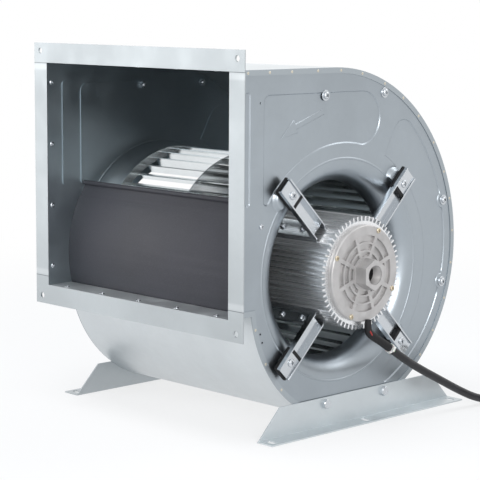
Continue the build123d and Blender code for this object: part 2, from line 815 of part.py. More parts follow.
for bearing_name, (start, way) in bearing_starts.items():
    with BuildPart() as bearing_outer_ring:
        with BuildSketch(shaft_plane(start)):
            Circle(bearing_outer_radius)
            Circle(bearing_split_radius + bearing_fit, mode=Mode.SUBTRACT)
        extrude(amount=way * bearing_width)
    finish(bearing_outer_ring, "bearing_outer_ring_" + bearing_name)
    with BuildPart() as bearing_inner_ring:
        with BuildSketch(shaft_plane(start)):
            Circle(bearing_split_radius)
            Circle(shaft_radius, mode=Mode.SUBTRACT)
        extrude(amount=way * bearing_width)
    finish(bearing_inner_ring, "bearing_inner_ring_" + bearing_name)

with BuildPart() as motor_shaft:
    shaft_start = hub_back - shaft_proud
    shaft_end = motor_front + shield_thickness
    with BuildSketch(shaft_plane(shaft_start)):
        Circle(shaft_radius)
    extrude(amount=shaft_end - shaft_start)
    chamfer(motor_shaft.edges().filter_by(GeomType.CIRCLE), length=1)
finish(motor_shaft, "motor_shaft")

with BuildPart() as rotor_core:
    with BuildSketch(shaft_plane(stator_start)):
        Circle(stator_bore_radius - air_gap)
        Circle(shaft_radius, mode=Mode.SUBTRACT)
    extrude(amount=stator_length)
finish(rotor_core, "rotor_core")

with BuildPart() as stator_core:
    with BuildSketch(shaft_plane(stator_start)):
        Circle(housing_bore_radius)
        Circle(stator_bore_radius, mode=Mode.SUBTRACT)
    extrude(amount=stator_length)
finish(stator_core, "stator_core")

with BuildPart() as stator_windings:
    for start, way in ((stator_start, -1), (stator_start + stator_length, 1)):
        with BuildSketch(shaft_plane(start)):
            Circle(winding_outer_radius)
            Circle(winding_inner_radius, mode=Mode.SUBTRACT)
        extrude(amount=way * winding_length)
    chamfer(stator_windings.edges().filter_by(GeomType.CIRCLE), length=2)
finish(stator_windings, "stator_windings")


# Motor arms: a channel along the radius that turns in and straddles a land of the housing
def motor_arm(angle):
    side_view = radial_plane(angle)
    outward = side_view.y_dir
    with BuildPart() as arm:
        with BuildSketch(side_view) as wall:
            with BuildLine():
                Polyline(
                    (arm_leg_end, land_height),
                    (arm_front, land_height),
                    (arm_front, arm_reach),
                    (arm_back, arm_reach),
                    (arm_back, leg_base),
                    (arm_leg_end, leg_base),
                    close=True,
                )
            make_face()
            corner = wall.vertices().group_by(Axis.X)[-1].sort_by(Axis.Y)[0]
            fillet(corner, radius=arm_corner)
        extrude(amount=arm_width / 2, both=True)
        with BuildSketch(side_view):
            with BuildLine():
                Polyline(
                    (arm_leg_end - 1, land_height - 1),
                    (arm_front + 1, land_height - 1),
                    (arm_front + 1, arm_reach + 1),
                    (arm_back + arm_sheet, arm_reach + 1),
                    (arm_back + arm_sheet, leg_base - arm_sheet),
                    (arm_leg_end - 1, leg_base - arm_sheet),
                    close=True,
                )
            make_face()
        extrude(amount=arm_width / 2 - arm_sheet, both=True, mode=Mode.SUBTRACT)
        with BuildSketch(shaft_plane(arm_back)):
            with PolarLocations(arm_bolt_circle, 1, start_angle=angle):
                Circle(arm_neck_radius)
        extrude(amount=arm_sheet, mode=Mode.SUBTRACT)
        for place in leg_screw_places:
            start = Vector(place, shaft_y, shaft_height) + outward * land_height
            with BuildSketch(Plane(origin=start, z_dir=outward)):
                Circle(leg_screw_radius + hole_clearance)
            extrude(amount=2 * arm_depth, mode=Mode.SUBTRACT)
    return arm


for index, angle in enumerate(arm_angles):
    finish(motor_arm(angle), "motor_arm_" + str(index + 1))


# Rubber mounts: a block under each arm's end, a wall round it and a core inside the channel
mount_half = arm_width / 2 + mount_wall
mount_outer = arm_reach + mount_wall
mount_inner = mount_outer - mount_length
core_half = arm_width / 2 - arm_sheet - edge_gap
core_inner = arm_bolt_circle - arm_washer_length / 2
core_outer = arm_bolt_circle + arm_washer_length / 2
core_face = arm_back + arm_sheet + mount_core
washer_face = core_face + arm_washer_sheet

with BuildPart() as rubber_mounts:
    for angle in arm_angles:
        for start, end, low, high, half in (
            (plate_face, arm_back, mount_inner, mount_outer, mount_half),
            (arm_back, core_face, mount_inner + mount_wall, mount_outer, mount_half),
        ):
            with BuildSketch(radial_plane(angle)):
                with Locations(((start + end) / 2, (low + high) / 2)):
                    Rectangle(end - start, high - low)
            extrude(amount=half, both=True)
        with BuildSketch(radial_plane(angle)):
            with Locations(((arm_back + arm_front) / 2, arm_reach / 2)):
                Rectangle(arm_depth, arm_reach)
        extrude(amount=arm_width / 2, both=True, mode=Mode.SUBTRACT)
        with BuildSketch(shaft_plane(arm_back)):
            with PolarLocations(arm_bolt_circle, 1, start_angle=angle):
                Circle(arm_neck_radius - hole_clearance)
        extrude(amount=arm_sheet)
        with BuildSketch(radial_plane(angle)):
            with Locations((arm_back + arm_sheet + mount_core / 2, arm_bolt_circle)):
                Rectangle(mount_core, arm_washer_length)
        extrude(amount=core_half, both=True)
        with BuildSketch(shaft_plane(plate_face)):
            with PolarLocations(arm_bolt_circle, 1, start_angle=angle):
                Circle(arm_screw_radius + hole_clearance)
        extrude(amount=2 * mount_thickness, mode=Mode.SUBTRACT)
finish(rubber_mounts, "rubber_mounts")

with BuildPart() as arm_washers:
    for angle in arm_angles:
        with BuildSketch(radial_plane(angle)):
            with Locations((core_face + arm_washer_sheet / 2, arm_bolt_circle)):
                Rectangle(arm_washer_sheet, arm_washer_length)
        extrude(amount=core_half, both=True)
        with BuildSketch(shaft_plane(core_face)):
            with PolarLocations(arm_bolt_circle, 1, start_angle=angle):
                Circle(arm_screw_radius + hole_clearance)
        extrude(amount=arm_washer_sheet, mode=Mode.SUBTRACT)
finish(arm_washers, "arm_washers")

arm_nut_height = 5.0
arm_nut_across = 10.0
arm_screw_end = 2.0

with BuildPart() as arm_bolts:
    for start, radius, length in (
        (washer_face, 2 * arm_screw_radius, 0.6 * arm_nut_height),
        (washer_face, arm_screw_radius - thread_clearance,
         -(washer_face - half_width + arm_nut_height + arm_screw_end)),
    ):
        with BuildSketch(shaft_plane(start)):
            with PolarLocations(arm_bolt_circle, 4, start_angle=45):
                Circle(radius)
        extrude(amount=length)
finish(arm_bolts, "arm_bolts")

with BuildPart() as arm_nuts:
    with BuildSketch(shaft_plane(half_width)):
        with PolarLocations(arm_bolt_circle, 4, start_angle=45):
            RegularPolygon(arm_nut_across / 2, 6, major_radius=False, rotation=30)
            Circle(arm_screw_radius, mode=Mode.SUBTRACT)
    extrude(amount=-arm_nut_height)
finish(arm_nuts, "arm_nuts")

with BuildPart() as leg_screws:
    for angle in arm_angles:
        outward = radial_plane(angle).y_dir
        for place in leg_screw_places:
            for start, radius, length in (
                (leg_screw_end, leg_screw_radius, leg_base - leg_screw_end),
                (leg_base, 2.5 * leg_screw_radius, 0.4 * leg_screw_radius),
                (leg_base, 2 * leg_screw_radius, 1.5 * leg_screw_radius),
            ):
                origin = Vector(place, shaft_y, shaft_height) + outward * start
                with BuildSketch(Plane(origin=origin, z_dir=outward)):
                    Circle(radius)
                extrude(amount=length)
finish(leg_screws, "leg_screws")


# Cable: a rubber gland under the outer shield, a sleeve, a tie, a free run and a coil with a connector
floor_level = cable_radius
coil_x = 337.0
coil_y = 290.0
entry_x = coil_x - coil_radius
motor_nose = Vector(motor_front, shaft_y, shaft_height)
sleeve_start = motor_nose + Vector(*sleeve_root_offset)
sleeve_end = motor_nose + Vector(*sleeve_end_offset)
cable_route = [
    sleeve_end,
    sleeve_end + (sleeve_end - sleeve_start).normalized() * 40,
    Vector(258.4, 74.5, 74.8),
    Vector(261.5, 117.5, 52.6),
    Vector(264.8, 160.0, 30.4),
    Vector(268.6, 197.0, 13.2),
    Vector(entry_x, 226.0, floor_level),
    Vector(entry_x, coil_y - coil_stub, floor_level),
]
gland_width = 16.0
gland_depth = 18.0
gland_height = 34.0
tie_width = 4.0
tie_sheet = 1.5


def corner_radii(points):
    """Largest arc that two runs leave room for, at each inner point of a route."""
    radii = []
    for before, point, after in zip(points, points[1:], points[2:]):
        turn = radians((point - before).get_angle(after - point))
        shorter = min((point - before).length, (after - point).length)
        radii.append(0.45 * shorter / tan(turn / 2))
    return radii


cable_radii = corner_radii(cable_route)
print("cable radii", [round(radius, 1) for radius in cable_radii])
sleeve_way = (sleeve_end - sleeve_start).normalized()

with BuildPart() as cable_gland:
    with BuildSketch(Plane(origin=(sleeve_start.X + 1, sleeve_start.Y - 2, sleeve_start.Z - 4))):
        RectangleRounded(gland_width, gland_depth, 3)
    extrude(amount=gland_height)
    with BuildSketch(Plane(origin=sleeve_start, z_dir=sleeve_way)):
        Circle(sleeve_root_radius + 1)
    extrude(amount=-gland_depth / 2)
    with BuildSketch(Plane(origin=sleeve_start, z_dir=sleeve_way)):
        Rectangle(4 * gland_width, 4 * gland_depth)
    extrude(amount=gland_height, mode=Mode.SUBTRACT)
    with BuildSketch(shaft_plane(motor_front - gland_width)):
        Circle(fin_radius + edge_gap)
    extrude(amount=gland_width, mode=Mode.SUBTRACT)
    with BuildSketch(shaft_plane(motor_front)):
        Circle(shield_radius)
    extrude(amount=2 * gland_width, mode=Mode.SUBTRACT)
finish(cable_gland, "cable_gland")

with BuildPart() as cable_sleeve:
    with BuildSketch(Plane(origin=sleeve_start, z_dir=sleeve_way)):
        Circle(sleeve_root_radius)
    with BuildSketch(Plane(origin=sleeve_end, z_dir=sleeve_way)):
        Circle(cable_radius + 1)
    loft()
finish(cable_sleeve, "cable_sleeve")

with BuildPart() as cable_tie:
    first_way = (cable_route[1] - cable_route[0]).normalized()
    tie_place = cable_route[0] + first_way * tie_width
    with BuildSketch(Plane(origin=tie_place, z_dir=first_way)):
        Circle(cable_radius + tie_sheet)
        Circle(cable_radius, mode=Mode.SUBTRACT)
        with Locations((0, cable_radius + tie_sheet)):
            Rectangle(2 * tie_width, 2 * tie_sheet)
        Circle(cable_radius, mode=Mode.SUBTRACT)
    extrude(amount=tie_width)
finish(cable_tie, "cable_tie")

with BuildPart() as power_cable_run:
    with BuildLine():
        cable_path = FilletPolyline(*cable_route, radius=cable_radii)
    with BuildSketch(Plane(origin=cable_route[0], z_dir=first_way)):
        Circle(cable_radius)
    sweep()
finish(power_cable_run, "power_cable_run")
section_volume = pi * cable_radius ** 2 * cable_path.length
print("cable run", round(cable_path.length, 1), "volume ratio", round(power_cable_run.part.volume / section_volume, 4))

with BuildPart() as power_cable_coil:
    with BuildSketch(Plane.XY):
        with Locations((coil_x, coil_y)):
            Circle(coil_radius + cable_radius)
            Circle(coil_radius - cable_radius, mode=Mode.SUBTRACT)
    extrude(amount=2 * coil_turns_high * cable_radius)
    with BuildSketch(Plane.XY):
        with Locations((entry_x, coil_y - coil_stub / 2)):
            Rectangle(2 * cable_radius, coil_stub)
    extrude(amount=2 * cable_radius)
finish(power_cable_coil, "power_cable_coil")

with BuildPart() as cable_connector:
    coil_top = 2 * coil_turns_high * cable_radius
    with BuildSketch(Plane.XY.offset(coil_top)):
        with Locations((coil_x - connector_length / 4, coil_y - coil_radius)):
            RectangleRounded(connector_length, connector_width, 2)
    extrude(amount=connector_height)
    mouth_x = coil_x - connector_length * 3 / 4
    with BuildSketch(Plane(origin=(mouth_x, coil_y - coil_radius, coil_top + connector_height / 2), z_dir=(-1, 0, 0))):
        Rectangle(connector_height - 4, connector_width - 4)
    extrude(amount=-connector_height, mode=Mode.SUBTRACT)
finish(cable_connector, "cable_connector")
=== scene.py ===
# %% [markdown]
# # A double-inlet centrifugal fan
# The fan is a sheet steel scroll with a wheel inside and a finned motor in the right-hand inlet. Its solids
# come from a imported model, so the shapes and the sizes are given, and this lesson is about what makes them
# look real: the camera and light, a coiled cable, pressed and turned details, and one finish for each
# material.

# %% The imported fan
import math
import random

import bmesh
import bpy
from mathutils import Matrix, Vector


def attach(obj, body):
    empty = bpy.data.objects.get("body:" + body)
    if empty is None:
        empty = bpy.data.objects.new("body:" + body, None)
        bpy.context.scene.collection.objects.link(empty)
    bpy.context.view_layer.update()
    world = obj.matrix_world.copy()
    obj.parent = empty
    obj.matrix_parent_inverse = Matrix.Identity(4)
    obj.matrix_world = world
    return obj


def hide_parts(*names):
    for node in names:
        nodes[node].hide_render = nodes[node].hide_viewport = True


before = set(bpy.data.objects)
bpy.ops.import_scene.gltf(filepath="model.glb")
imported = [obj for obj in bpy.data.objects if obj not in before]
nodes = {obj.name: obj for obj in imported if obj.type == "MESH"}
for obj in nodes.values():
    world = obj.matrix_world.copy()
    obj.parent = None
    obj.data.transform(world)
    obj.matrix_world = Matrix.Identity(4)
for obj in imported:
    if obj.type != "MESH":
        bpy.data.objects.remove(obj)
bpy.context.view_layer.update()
scene = bpy.context.scene
MM = 0.001
SHAFT = Vector((0.0, -0.040, 0.230))


def placed(name, data):
    """A new object, linked to the scene."""
    item = bpy.data.objects.new(name, data)
    scene.collection.objects.link(item)
    return item


# %% [markdown]
# ## Where the camera stands
# The photograph looks down a little on the corner between the outlet and the motor. The camera's place was
# found by fitting the corners of the outlet frame and the inlet's circle, so it is written here as one point
# and three angles: how far it turns round the fan, how far it looks down, and a small roll.

# %% The camera
CAMERA_PLACE = Vector((1.8901, -1.8898, 0.6206))
CAMERA_TURN = math.radians(45.7925)
CAMERA_DIP = math.radians(7.90685)
CAMERA_ROLL = math.radians(0.3552)
LENS_MM = 129.52
SENSOR_MM = 36.0

backward = Vector((
    math.sin(CAMERA_TURN) * math.cos(CAMERA_DIP),
    -math.cos(CAMERA_TURN) * math.cos(CAMERA_DIP),
    math.sin(CAMERA_DIP),
))
level_right = (-backward).cross(Vector((0, 0, 1))).normalized()
level_up = level_right.cross(-backward)
camera_right = math.cos(CAMERA_ROLL) * level_right + math.sin(CAMERA_ROLL) * level_up
camera_up = math.cos(CAMERA_ROLL) * level_up - math.sin(CAMERA_ROLL) * level_right

camera_data = bpy.data.cameras.new("studio_camera")
camera_data.sensor_width = SENSOR_MM
camera_data.lens = LENS_MM
camera = placed("studio_camera", camera_data)
camera_turned = Matrix((camera_right, camera_up, backward)).transposed()
camera.matrix_world = Matrix.Translation(CAMERA_PLACE) @ camera_turned.to_4x4()
scene.camera = camera
print("the camera is", round((CAMERA_PLACE - SHAFT).length, 3), "m from the shaft")

# %% [markdown]
# ## A white studio
# Sheet metal is mostly a picture of the room around it, so the room comes before any finish. The floor and
# the world are white for the camera and for reflections, and they give the other rays less light, so the fan
# is lit by the lamps. Near the fan a share of the floor's own shading stays, and with it the soft shadow
# under the feet. The share fades out with distance, so no horizon shows.

# %% Helpers for shader nodes
def add_node(tree, kind, **settings):
    """A shader node with its settings; numbers, colours and links go to the sockets by name or number."""
    node = tree.nodes.new(kind)
    sockets = settings.pop("sockets", {})
    for name, value in settings.items():
        setattr(node, name, value)
    for name, value in sockets.items():
        if isinstance(value, bpy.types.NodeSocket):
            tree.links.new(value, node.inputs[name])
        else:
            node.inputs[name].default_value = value
    return node


def seen_directly(tree):
    """One for rays from the camera, from reflections and through glass, and zero for all others."""
    path = add_node(tree, "ShaderNodeLightPath")
    sharp = add_node(tree, "ShaderNodeMath", operation="MAXIMUM", sockets={
        0: path.outputs["Is Camera Ray"], 1: path.outputs["Is Glossy Ray"]})
    clear = add_node(tree, "ShaderNodeMath", operation="MAXIMUM", sockets={
        0: sharp.outputs[0], 1: path.outputs["Is Transmission Ray"]})
    return clear.outputs[0]


def mixed(tree, factor, first, second):
    """The first shader where the factor is zero, and the second where it is one."""
    mix = add_node(tree, "ShaderNodeMixShader", sockets={
        0: factor, 1: first.outputs[0], 2: second.outputs[0]})
    return mix.outputs[0]


def empty_tree(owner):
    """The node tree of a world or a material, with nothing in it."""
    owner.use_nodes = True
    owner.node_tree.nodes.clear()
    return owner.node_tree


# %% The world
WHITE = (1, 1, 1, 1)
scene.world = bpy.data.worlds.new("white_room")
room = empty_tree(scene.world)
room_light = add_node(room, "ShaderNodeBackground", sockets={
    "Color": (0.86, 0.92, 1.0, 1), "Strength": 0.55})
room_white = add_node(room, "ShaderNodeBackground", sockets={"Color": WHITE, "Strength": 1.0})
add_node(room, "ShaderNodeOutputWorld", sockets={
    "Surface": mixed(room, seen_directly(room), room_light, room_white)})
print("a white room with", len(room.nodes), "shader nodes")

# %% The floor
FLOOR_REACH = 30.0
FLOOR_DROP = 0.0004
SHADOW_SHARE = 0.72
SHADOW_REACH = 0.45
WHITE_FROM = 1.9
floor_mesh = bpy.data.meshes.new("studio_floor")
floor_mesh.from_pydata(
    [(x * FLOOR_REACH, y * FLOOR_REACH, 0) for x, y in ((-1, -1), (1, -1), (1, 1), (-1, 1))],
    [], [(0, 1, 2, 3)])
studio_floor = placed("studio_floor", floor_mesh)
studio_floor.location.z = -FLOOR_DROP

floor_paint = bpy.data.materials.new("floor_paint")
paint = empty_tree(floor_paint)
paint_matt = add_node(paint, "ShaderNodeBsdfDiffuse", sockets={"Color": (0.92, 0.925, 0.93, 1)})
paint_white = add_node(paint, "ShaderNodeEmission", sockets={"Color": WHITE, "Strength": 1.0})
floor_place = add_node(paint, "ShaderNodeTexCoord").outputs["Object"]
floor_distance = add_node(paint, "ShaderNodeVectorMath", operation="LENGTH", sockets={0: floor_place})
floor_share = add_node(paint, "ShaderNodeMapRange", interpolation_type="SMOOTHSTEP", sockets={
    "Value": floor_distance.outputs["Value"],
    "From Min": SHADOW_REACH, "From Max": WHITE_FROM, "To Min": SHADOW_SHARE, "To Max": 1.0})
floor_seen = add_node(paint, "ShaderNodeMath", operation="MULTIPLY", sockets={
    0: seen_directly(paint), 1: floor_share.outputs[0]})
add_node(paint, "ShaderNodeOutputMaterial", sockets={
    "Surface": mixed(paint, floor_seen.outputs[0], paint_matt, paint_white)})
floor_mesh.materials.append(floor_paint)
print("floor of", 2 * FLOOR_REACH, "m")

# %% [markdown]
# ## Four soft lamps
# The front of the real fan is brighter than its side, because a large lamp stands at the front left. A second
# one above lights the top of the scroll and the motor's fins, and a weak one at the right keeps the inlet
# open. The last one stands high behind the fan: it is what the lower slopes of the pressed panels and of the
# inlet reflect.

# %% The lamps
LAMP_TARGET = Vector((0.0, 0.0, 0.28))


def soft_lamp(name, place, size, power):
    """A square area lamp that faces the fan."""
    lamp_data = bpy.data.lights.new(name, "AREA")
    lamp_data.shape = "SQUARE"
    lamp_data.size = size
    lamp_data.energy = power
    lamp = placed(name, lamp_data)
    lamp.location = place
    lamp.rotation_euler = (LAMP_TARGET - Vector(place)).to_track_quat("-Z", "Y").to_euler()
    print(name, "gives", power, "W from", size, "m")


soft_lamp("lamp_front_left", (-2.5, -2.6, 0.95), 2.4, 27)
soft_lamp("lamp_above", (-0.2, -0.9, 3.2), 1.8, 46)
soft_lamp("lamp_right", (2.4, -1.2, 1.1), 1.1, 24)
soft_lamp("lamp_behind", (1.1, 2.3, 2.3), 1.5, 15)

# %% [markdown]
# ## The cable first
# The lead leaves the shield in a tapered rubber boot, where a red core shows for a few millimetres. It falls
# to the floor and ends in a neat coil with a plain connector. A curve with a round bevel is right for it,
# because its length can be measured. Its few control points are pulled into one smooth line by a NURBS spline
# of order 3, which passes inside each corner as a real stiff lead does. Each point has its own radius, and
# that lets the boot taper.

# %% Tubes along smooth lines
def smooth_tube(name, stations, steps, roundness):
    """A tube on the casing through (place, radius) pairs, with so many steps for each span."""
    curve = bpy.data.curves.new(name, "CURVE")
    curve.dimensions = "3D"
    spline = curve.splines.new("NURBS")
    spline.points.add(len(stations) - 1)
    for point, (place, radius) in zip(spline.points, stations):
        point.co = (*place, 1.0)
        point.radius = radius
    spline.order_u = 3
    spline.use_endpoint_u = True
    spline.resolution_u = steps
    curve.bevel_depth = 1.0
    curve.bevel_resolution = roundness
    curve.use_fill_caps = True
    piece = placed(name, curve)
    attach(piece, "casing")
    print(name, "has", len(stations), "control points")
    return piece


# %% The boot and the red core
CABLE_EXIT = Vector((0.2526, 0.0079, 0.1168))
cable_boot = smooth_tube("cable_boot", [
    ((0.2500, -0.0335, 0.1620), 0.0046),
    ((0.2500, -0.0345, 0.1520), 0.0052),
    ((0.2500, -0.0320, 0.1420), 0.0060),
    ((0.2503, -0.0210, 0.1345), 0.0061),
    ((0.2515, -0.0055, 0.1258), 0.0060),
    (CABLE_EXIT, 0.0063),
], steps=12, roundness=6)
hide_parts("cable_gland", "cable_sleeve")
red_core = smooth_tube("red_core", [
    ((0.2548, -0.0345, 0.1460), 0.0011),
    ((0.2556, -0.0330, 0.1425), 0.0013),
    ((0.2550, -0.0300, 0.1390), 0.0010),
], steps=12, roundness=6)

# %% The route down to the floor
CORD_RADIUS = 6 * MM
cord_points = [
    CABLE_EXIT,
    (0.2557, 0.0408, 0.0942),
    (0.2584, 0.0745, 0.0748),
    (0.2615, 0.1175, 0.0526),
    (0.2648, 0.1600, 0.0304),
    (0.2686, 0.1970, 0.0132),
    (0.2720, 0.2260, 0.0060),
    (0.2720, 0.2500, 0.0060),
    (0.2720, 0.2750, 0.0060),
]
print(len(cord_points), "points down to the floor")

# %% The coil
COIL_CENTRE = Vector((0.337, 0.290, 0.0))
COIL_RADIUS = 0.065
COIL_POINTS = 27
POINTS_PER_TURN = 16
FIRST_RISE_FROM = 225
FIRST_RISE_OVER = 75
LAST_RISE_FROM = 545
LAST_RISE_OVER = 65
CONNECTOR_REAR = Vector((0.346, 0.225, 0.030))
CONNECTOR_LEAD = Vector((0.010, 0, 0))


def coil_level(turned):
    """Height of the cord's middle after so many degrees: on the floor, then up on to the first turn."""
    first_rise = min(max((turned - FIRST_RISE_FROM) / FIRST_RISE_OVER, 0), 1)
    last_rise = min(max((turned - LAST_RISE_FROM) / LAST_RISE_OVER, 0), 1)
    return CORD_RADIUS * (1 + 2 * first_rise + 2 * last_rise)


polygon_radius = COIL_RADIUS / math.cos(math.pi / POINTS_PER_TURN)
for step in range(COIL_POINTS):
    turned = (step + 0.5) * 360 / POINTS_PER_TURN
    angle = math.radians(180 - turned)
    cord_points.append(COIL_CENTRE + Vector((
        polygon_radius * math.cos(angle), polygon_radius * math.sin(angle), coil_level(turned))))
cord_points += [CONNECTOR_REAR + CONNECTOR_LEAD, CONNECTOR_REAR]

cord_stations = [(place, CORD_RADIUS) for place in cord_points]
power_cord = smooth_tube("power_cord", cord_stations, steps=10, roundness=5)
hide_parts("power_cable_run", "power_cable_coil")

# %% [markdown]
# ## Finishes in layers
# Each finish starts from one shader whose fixed numbers sit on its own sockets. Over it go two or three
# patterns at real scale: noise for cloudy colour, cells for crystals, and stretched noise for drawn or rolled
# lines. They are placed in object coordinates, in metres, so the same pattern has the same size on every
# piece.

# %% Helpers for finishes
class Finish:
    """A material with one main shader, and short ways to feed patterns into it."""

    def __init__(self, name, colour, metallic, roughness, slot=None, **fixed):
        self.material = bpy.data.materials.new(name)
        self.material.use_nodes = True
        self.tree = self.material.node_tree
        self.shader = self.tree.nodes["Principled BSDF"]
        fixed.update(Base_Color=(*colour, 1), Metallic=metallic, Roughness=roughness)
        for socket_name, value in fixed.items():
            self.shader.inputs[socket_name.replace("_", " ")].default_value = value
        self.colour = colour
        self.slot = slot or name
        self.place = add_node(self.tree, "ShaderNodeTexCoord").outputs["Object"]
        self.normal = None

    def stretched(self, scale):
        """Object coordinates scaled by three numbers, for lines that run one way."""
        return add_node(self.tree, "ShaderNodeMapping", sockets={
            "Vector": self.place, "Scale": scale}).outputs[0]

    def noise(self, scale, detail=3.0, place=None):
        """Soft noise with so many features for each metre."""
        return add_node(self.tree, "ShaderNodeTexNoise", sockets={
            "Vector": place or self.place, "Scale": scale, "Detail": detail}).outputs["Fac"]

    def cells(self, scale):
        """One random shade for each crystal."""
        return add_node(self.tree, "ShaderNodeTexVoronoi", sockets={
            "Vector": self.place, "Scale": scale}).outputs["Color"]

    def distance_along(self, axis, level=0.0):
        """How far a point lies from a level of one axis, in metres."""
        height = add_node(self.tree, "ShaderNodeSeparateXYZ", sockets={0: self.place}).outputs[axis]
        offset = add_node(self.tree, "ShaderNodeMath", operation="SUBTRACT", sockets={0: height, 1: level})
        distance = add_node(self.tree, "ShaderNodeMath", operation="ABSOLUTE", sockets={0: offset.outputs[0]})
        return distance.outputs[0]

    def spread(self, value, low, high, from_low=0.25, from_high=0.75):
        """A pattern's value laid out between two new numbers."""
        node = add_node(self.tree, "ShaderNodeMapRange", sockets={
            "Value": value, "From Min": from_low, "From Max": from_high, "To Min": low, "To Max": high})
        return node.outputs[0]

    def tint(self, factor, colour):
        """Mixes a second colour in where the factor is high."""
        current = self.shader.inputs["Base Color"]
        below = current.links[0].from_socket if current.is_linked else (*self.colour, 1)
        mix = add_node(self.tree, "ShaderNodeMix", data_type="RGBA", sockets={
            0: factor, 6: below, 7: (*colour, 1)})
        self.tree.links.new(mix.outputs[2], current)

    def roughen(self, value):
        """Lets a pattern set the roughness."""
        self.tree.links.new(value, self.shader.inputs["Roughness"])

    def relief(self, height, depth, strength):
        """Adds a bump of so many metres to what is there already."""
        node = add_node(self.tree, "ShaderNodeBump", sockets={
            "Height": height, "Distance": depth, "Strength": strength})
        if self.normal:
            self.tree.links.new(self.normal, node.inputs["Normal"])
        self.normal = node.outputs[0]
        self.tree.links.new(self.normal, self.shader.inputs["Normal"])

    def layer(self, pattern, colour, share, over=(0.25, 0.75), rough=None, relief=None):
        """Feeds one pattern into the colour and, where they are given, into the roughness and the relief."""
        self.tint(self.spread(pattern, 0.0, share, *over), colour)
        if rough:
            self.roughen(self.spread(pattern, *rough))
        if relief:
            self.relief(pattern, *relief)

    def put_on(self, *names):
        """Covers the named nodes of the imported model."""
        for name in names:
            mesh = nodes[name].data
            mesh.materials.clear()
            mesh.materials.append(self.material)
        print(self.material.name, "is on", len(names), "nodes")


# %% [markdown]
# ## Galvanised sheet
# Hot-dip zinc freezes in flat crystals, the spangle. On this sheet it is fine and faint, about 8 mm across,
# under a cloudy blue-grey bloom. Voronoi cells carry the crystals into the colour, the bloom also changes the
# roughness, and the rolling direction shows as long soft streaks. The only relief is a grain of hundredths of
# a millimetre, because anything deeper would make flat panels look hammered.

# %% The galvanised finish
SHEET = "galvanised_sheet"
SPANGLE = 120.0


def galvanised(name, colour, roughness, streak_scale, *covered, spangle=SPANGLE, cloud_share=0.6):
    """Zinc with crystals, clouds, bloom, rolling streaks and a fine grain, on the covered nodes."""
    zinc = Finish(name, colour, 1.0, roughness, slot=SHEET)
    crystals = zinc.cells(spangle)
    clouds = zinc.noise(4.0)
    bloom = zinc.noise(22.0, detail=2.0)
    streaks = zinc.noise(1.0, place=zinc.stretched(streak_scale))
    lighter = tuple(min(1.0, channel * 1.2) for channel in colour)
    darker = tuple(channel * 0.8 for channel in colour)
    zinc.layer(crystals, lighter, 0.12, (0.1, 0.9))
    zinc.layer(clouds, darker, cloud_share, (0.42, 0.66))
    zinc.layer(bloom, lighter, 0.22, (0.5, 0.75))
    zinc.layer(streaks, lighter, 0.2, (0.5, 0.75))
    grain = zinc.noise(650.0, detail=2.0)
    zinc.roughen(zinc.spread(bloom, roughness - 0.05, roughness + 0.07, 0.3, 0.7))
    zinc.relief(grain, 0.00003, 0.35)
    zinc.put_on(*covered)
    return zinc


# %% The zinc of each sheet, brighter or darker as painted light
FINE_IN_X = (9.0, 1.5, 1.5)
FINE_IN_Y = (1.5, 9.0, 1.5)
FINE_IN_Z = (1.5, 1.5, 9.0)
# All these sheets are one galvanised steel, and their base colours differ only as painted light. The wrapper
# and the motor side's foot are painted brighter, as lit. The motor side plate is darker, as painted shade of
# the darker room it reflects. The frame, the far foot and the far plate lie between.
FRAME_COLOUR = (0.475, 0.51, 0.53)
ARMS = ["motor_arm_1", "motor_arm_2", "motor_arm_3", "motor_arm_4"]
shaded_plate_zinc = galvanised("galvanised_sheet", (0.37, 0.41, 0.445), 0.33, FINE_IN_Y, "side_plate_motor_side")
far_zinc = galvanised("far_side_sheet", (0.45, 0.515, 0.555), 0.42, FINE_IN_Y, "side_plate_far_side")
frame_zinc = galvanised(
    "frame_sheet", FRAME_COLOUR, 0.44, FINE_IN_Z, "flange_top", "flange_bottom", "foot_rail_far_side")
upright_zinc = galvanised(
    "upright_sheet", FRAME_COLOUR, 0.44, FINE_IN_Z, "flange_motor_side", "flange_far_side")
galvanised("foot_sheet", (0.64, 0.685, 0.71), 0.42, FINE_IN_X, "foot_rail_motor_side")
lit_wrapper_zinc = galvanised(
    "wrapper_sheet", (0.67, 0.705, 0.725), 0.45, FINE_IN_X, "scroll_wrapper", cloud_share=0.2)
galvanised(
    "wheel_galvanised", (0.76, 0.79, 0.80), 0.2, (40.0, 3.0, 3.0), "wheel_disc", "blades_motor_side",
    "blades_far_side", "wheel_rim_motor_side", "wheel_rim_far_side", spangle=160.0)
arm_zinc = galvanised("arm_sheet", (0.60, 0.63, 0.66), 0.2, (8.0, 8.0, 8.0), *ARMS, spangle=260.0)

# %% [markdown]
# ## Painted shade and highlight on folds and joints
# The folded lip of the scroll's seam faces sideways like the side plate, and it is painted darker than the
# wrapper as painted shade. The uprights step behind the top and bottom strips: a dark hairline of painted
# shade marks each joint, and a pale band of painted highlight the bend beside it. Both are found by how far a
# point lies from a level.

# %% The seam's lip, in painted shade
SEAM_FOLD = 0.2003
SEAM_BLEND = 0.0006
LIP_SHADE_COLOUR = (0.40, 0.44, 0.47)
from_middle = lit_wrapper_zinc.distance_along("X")
# Painted shade: the side-facing lip gets a darker colour than the wrapper, close to the side plate's.
lit_wrapper_zinc.layer(from_middle, LIP_SHADE_COLOUR, 1.0, (SEAM_FOLD, SEAM_FOLD + SEAM_BLEND))
print("the lip is darker beyond", SEAM_FOLD, "m")

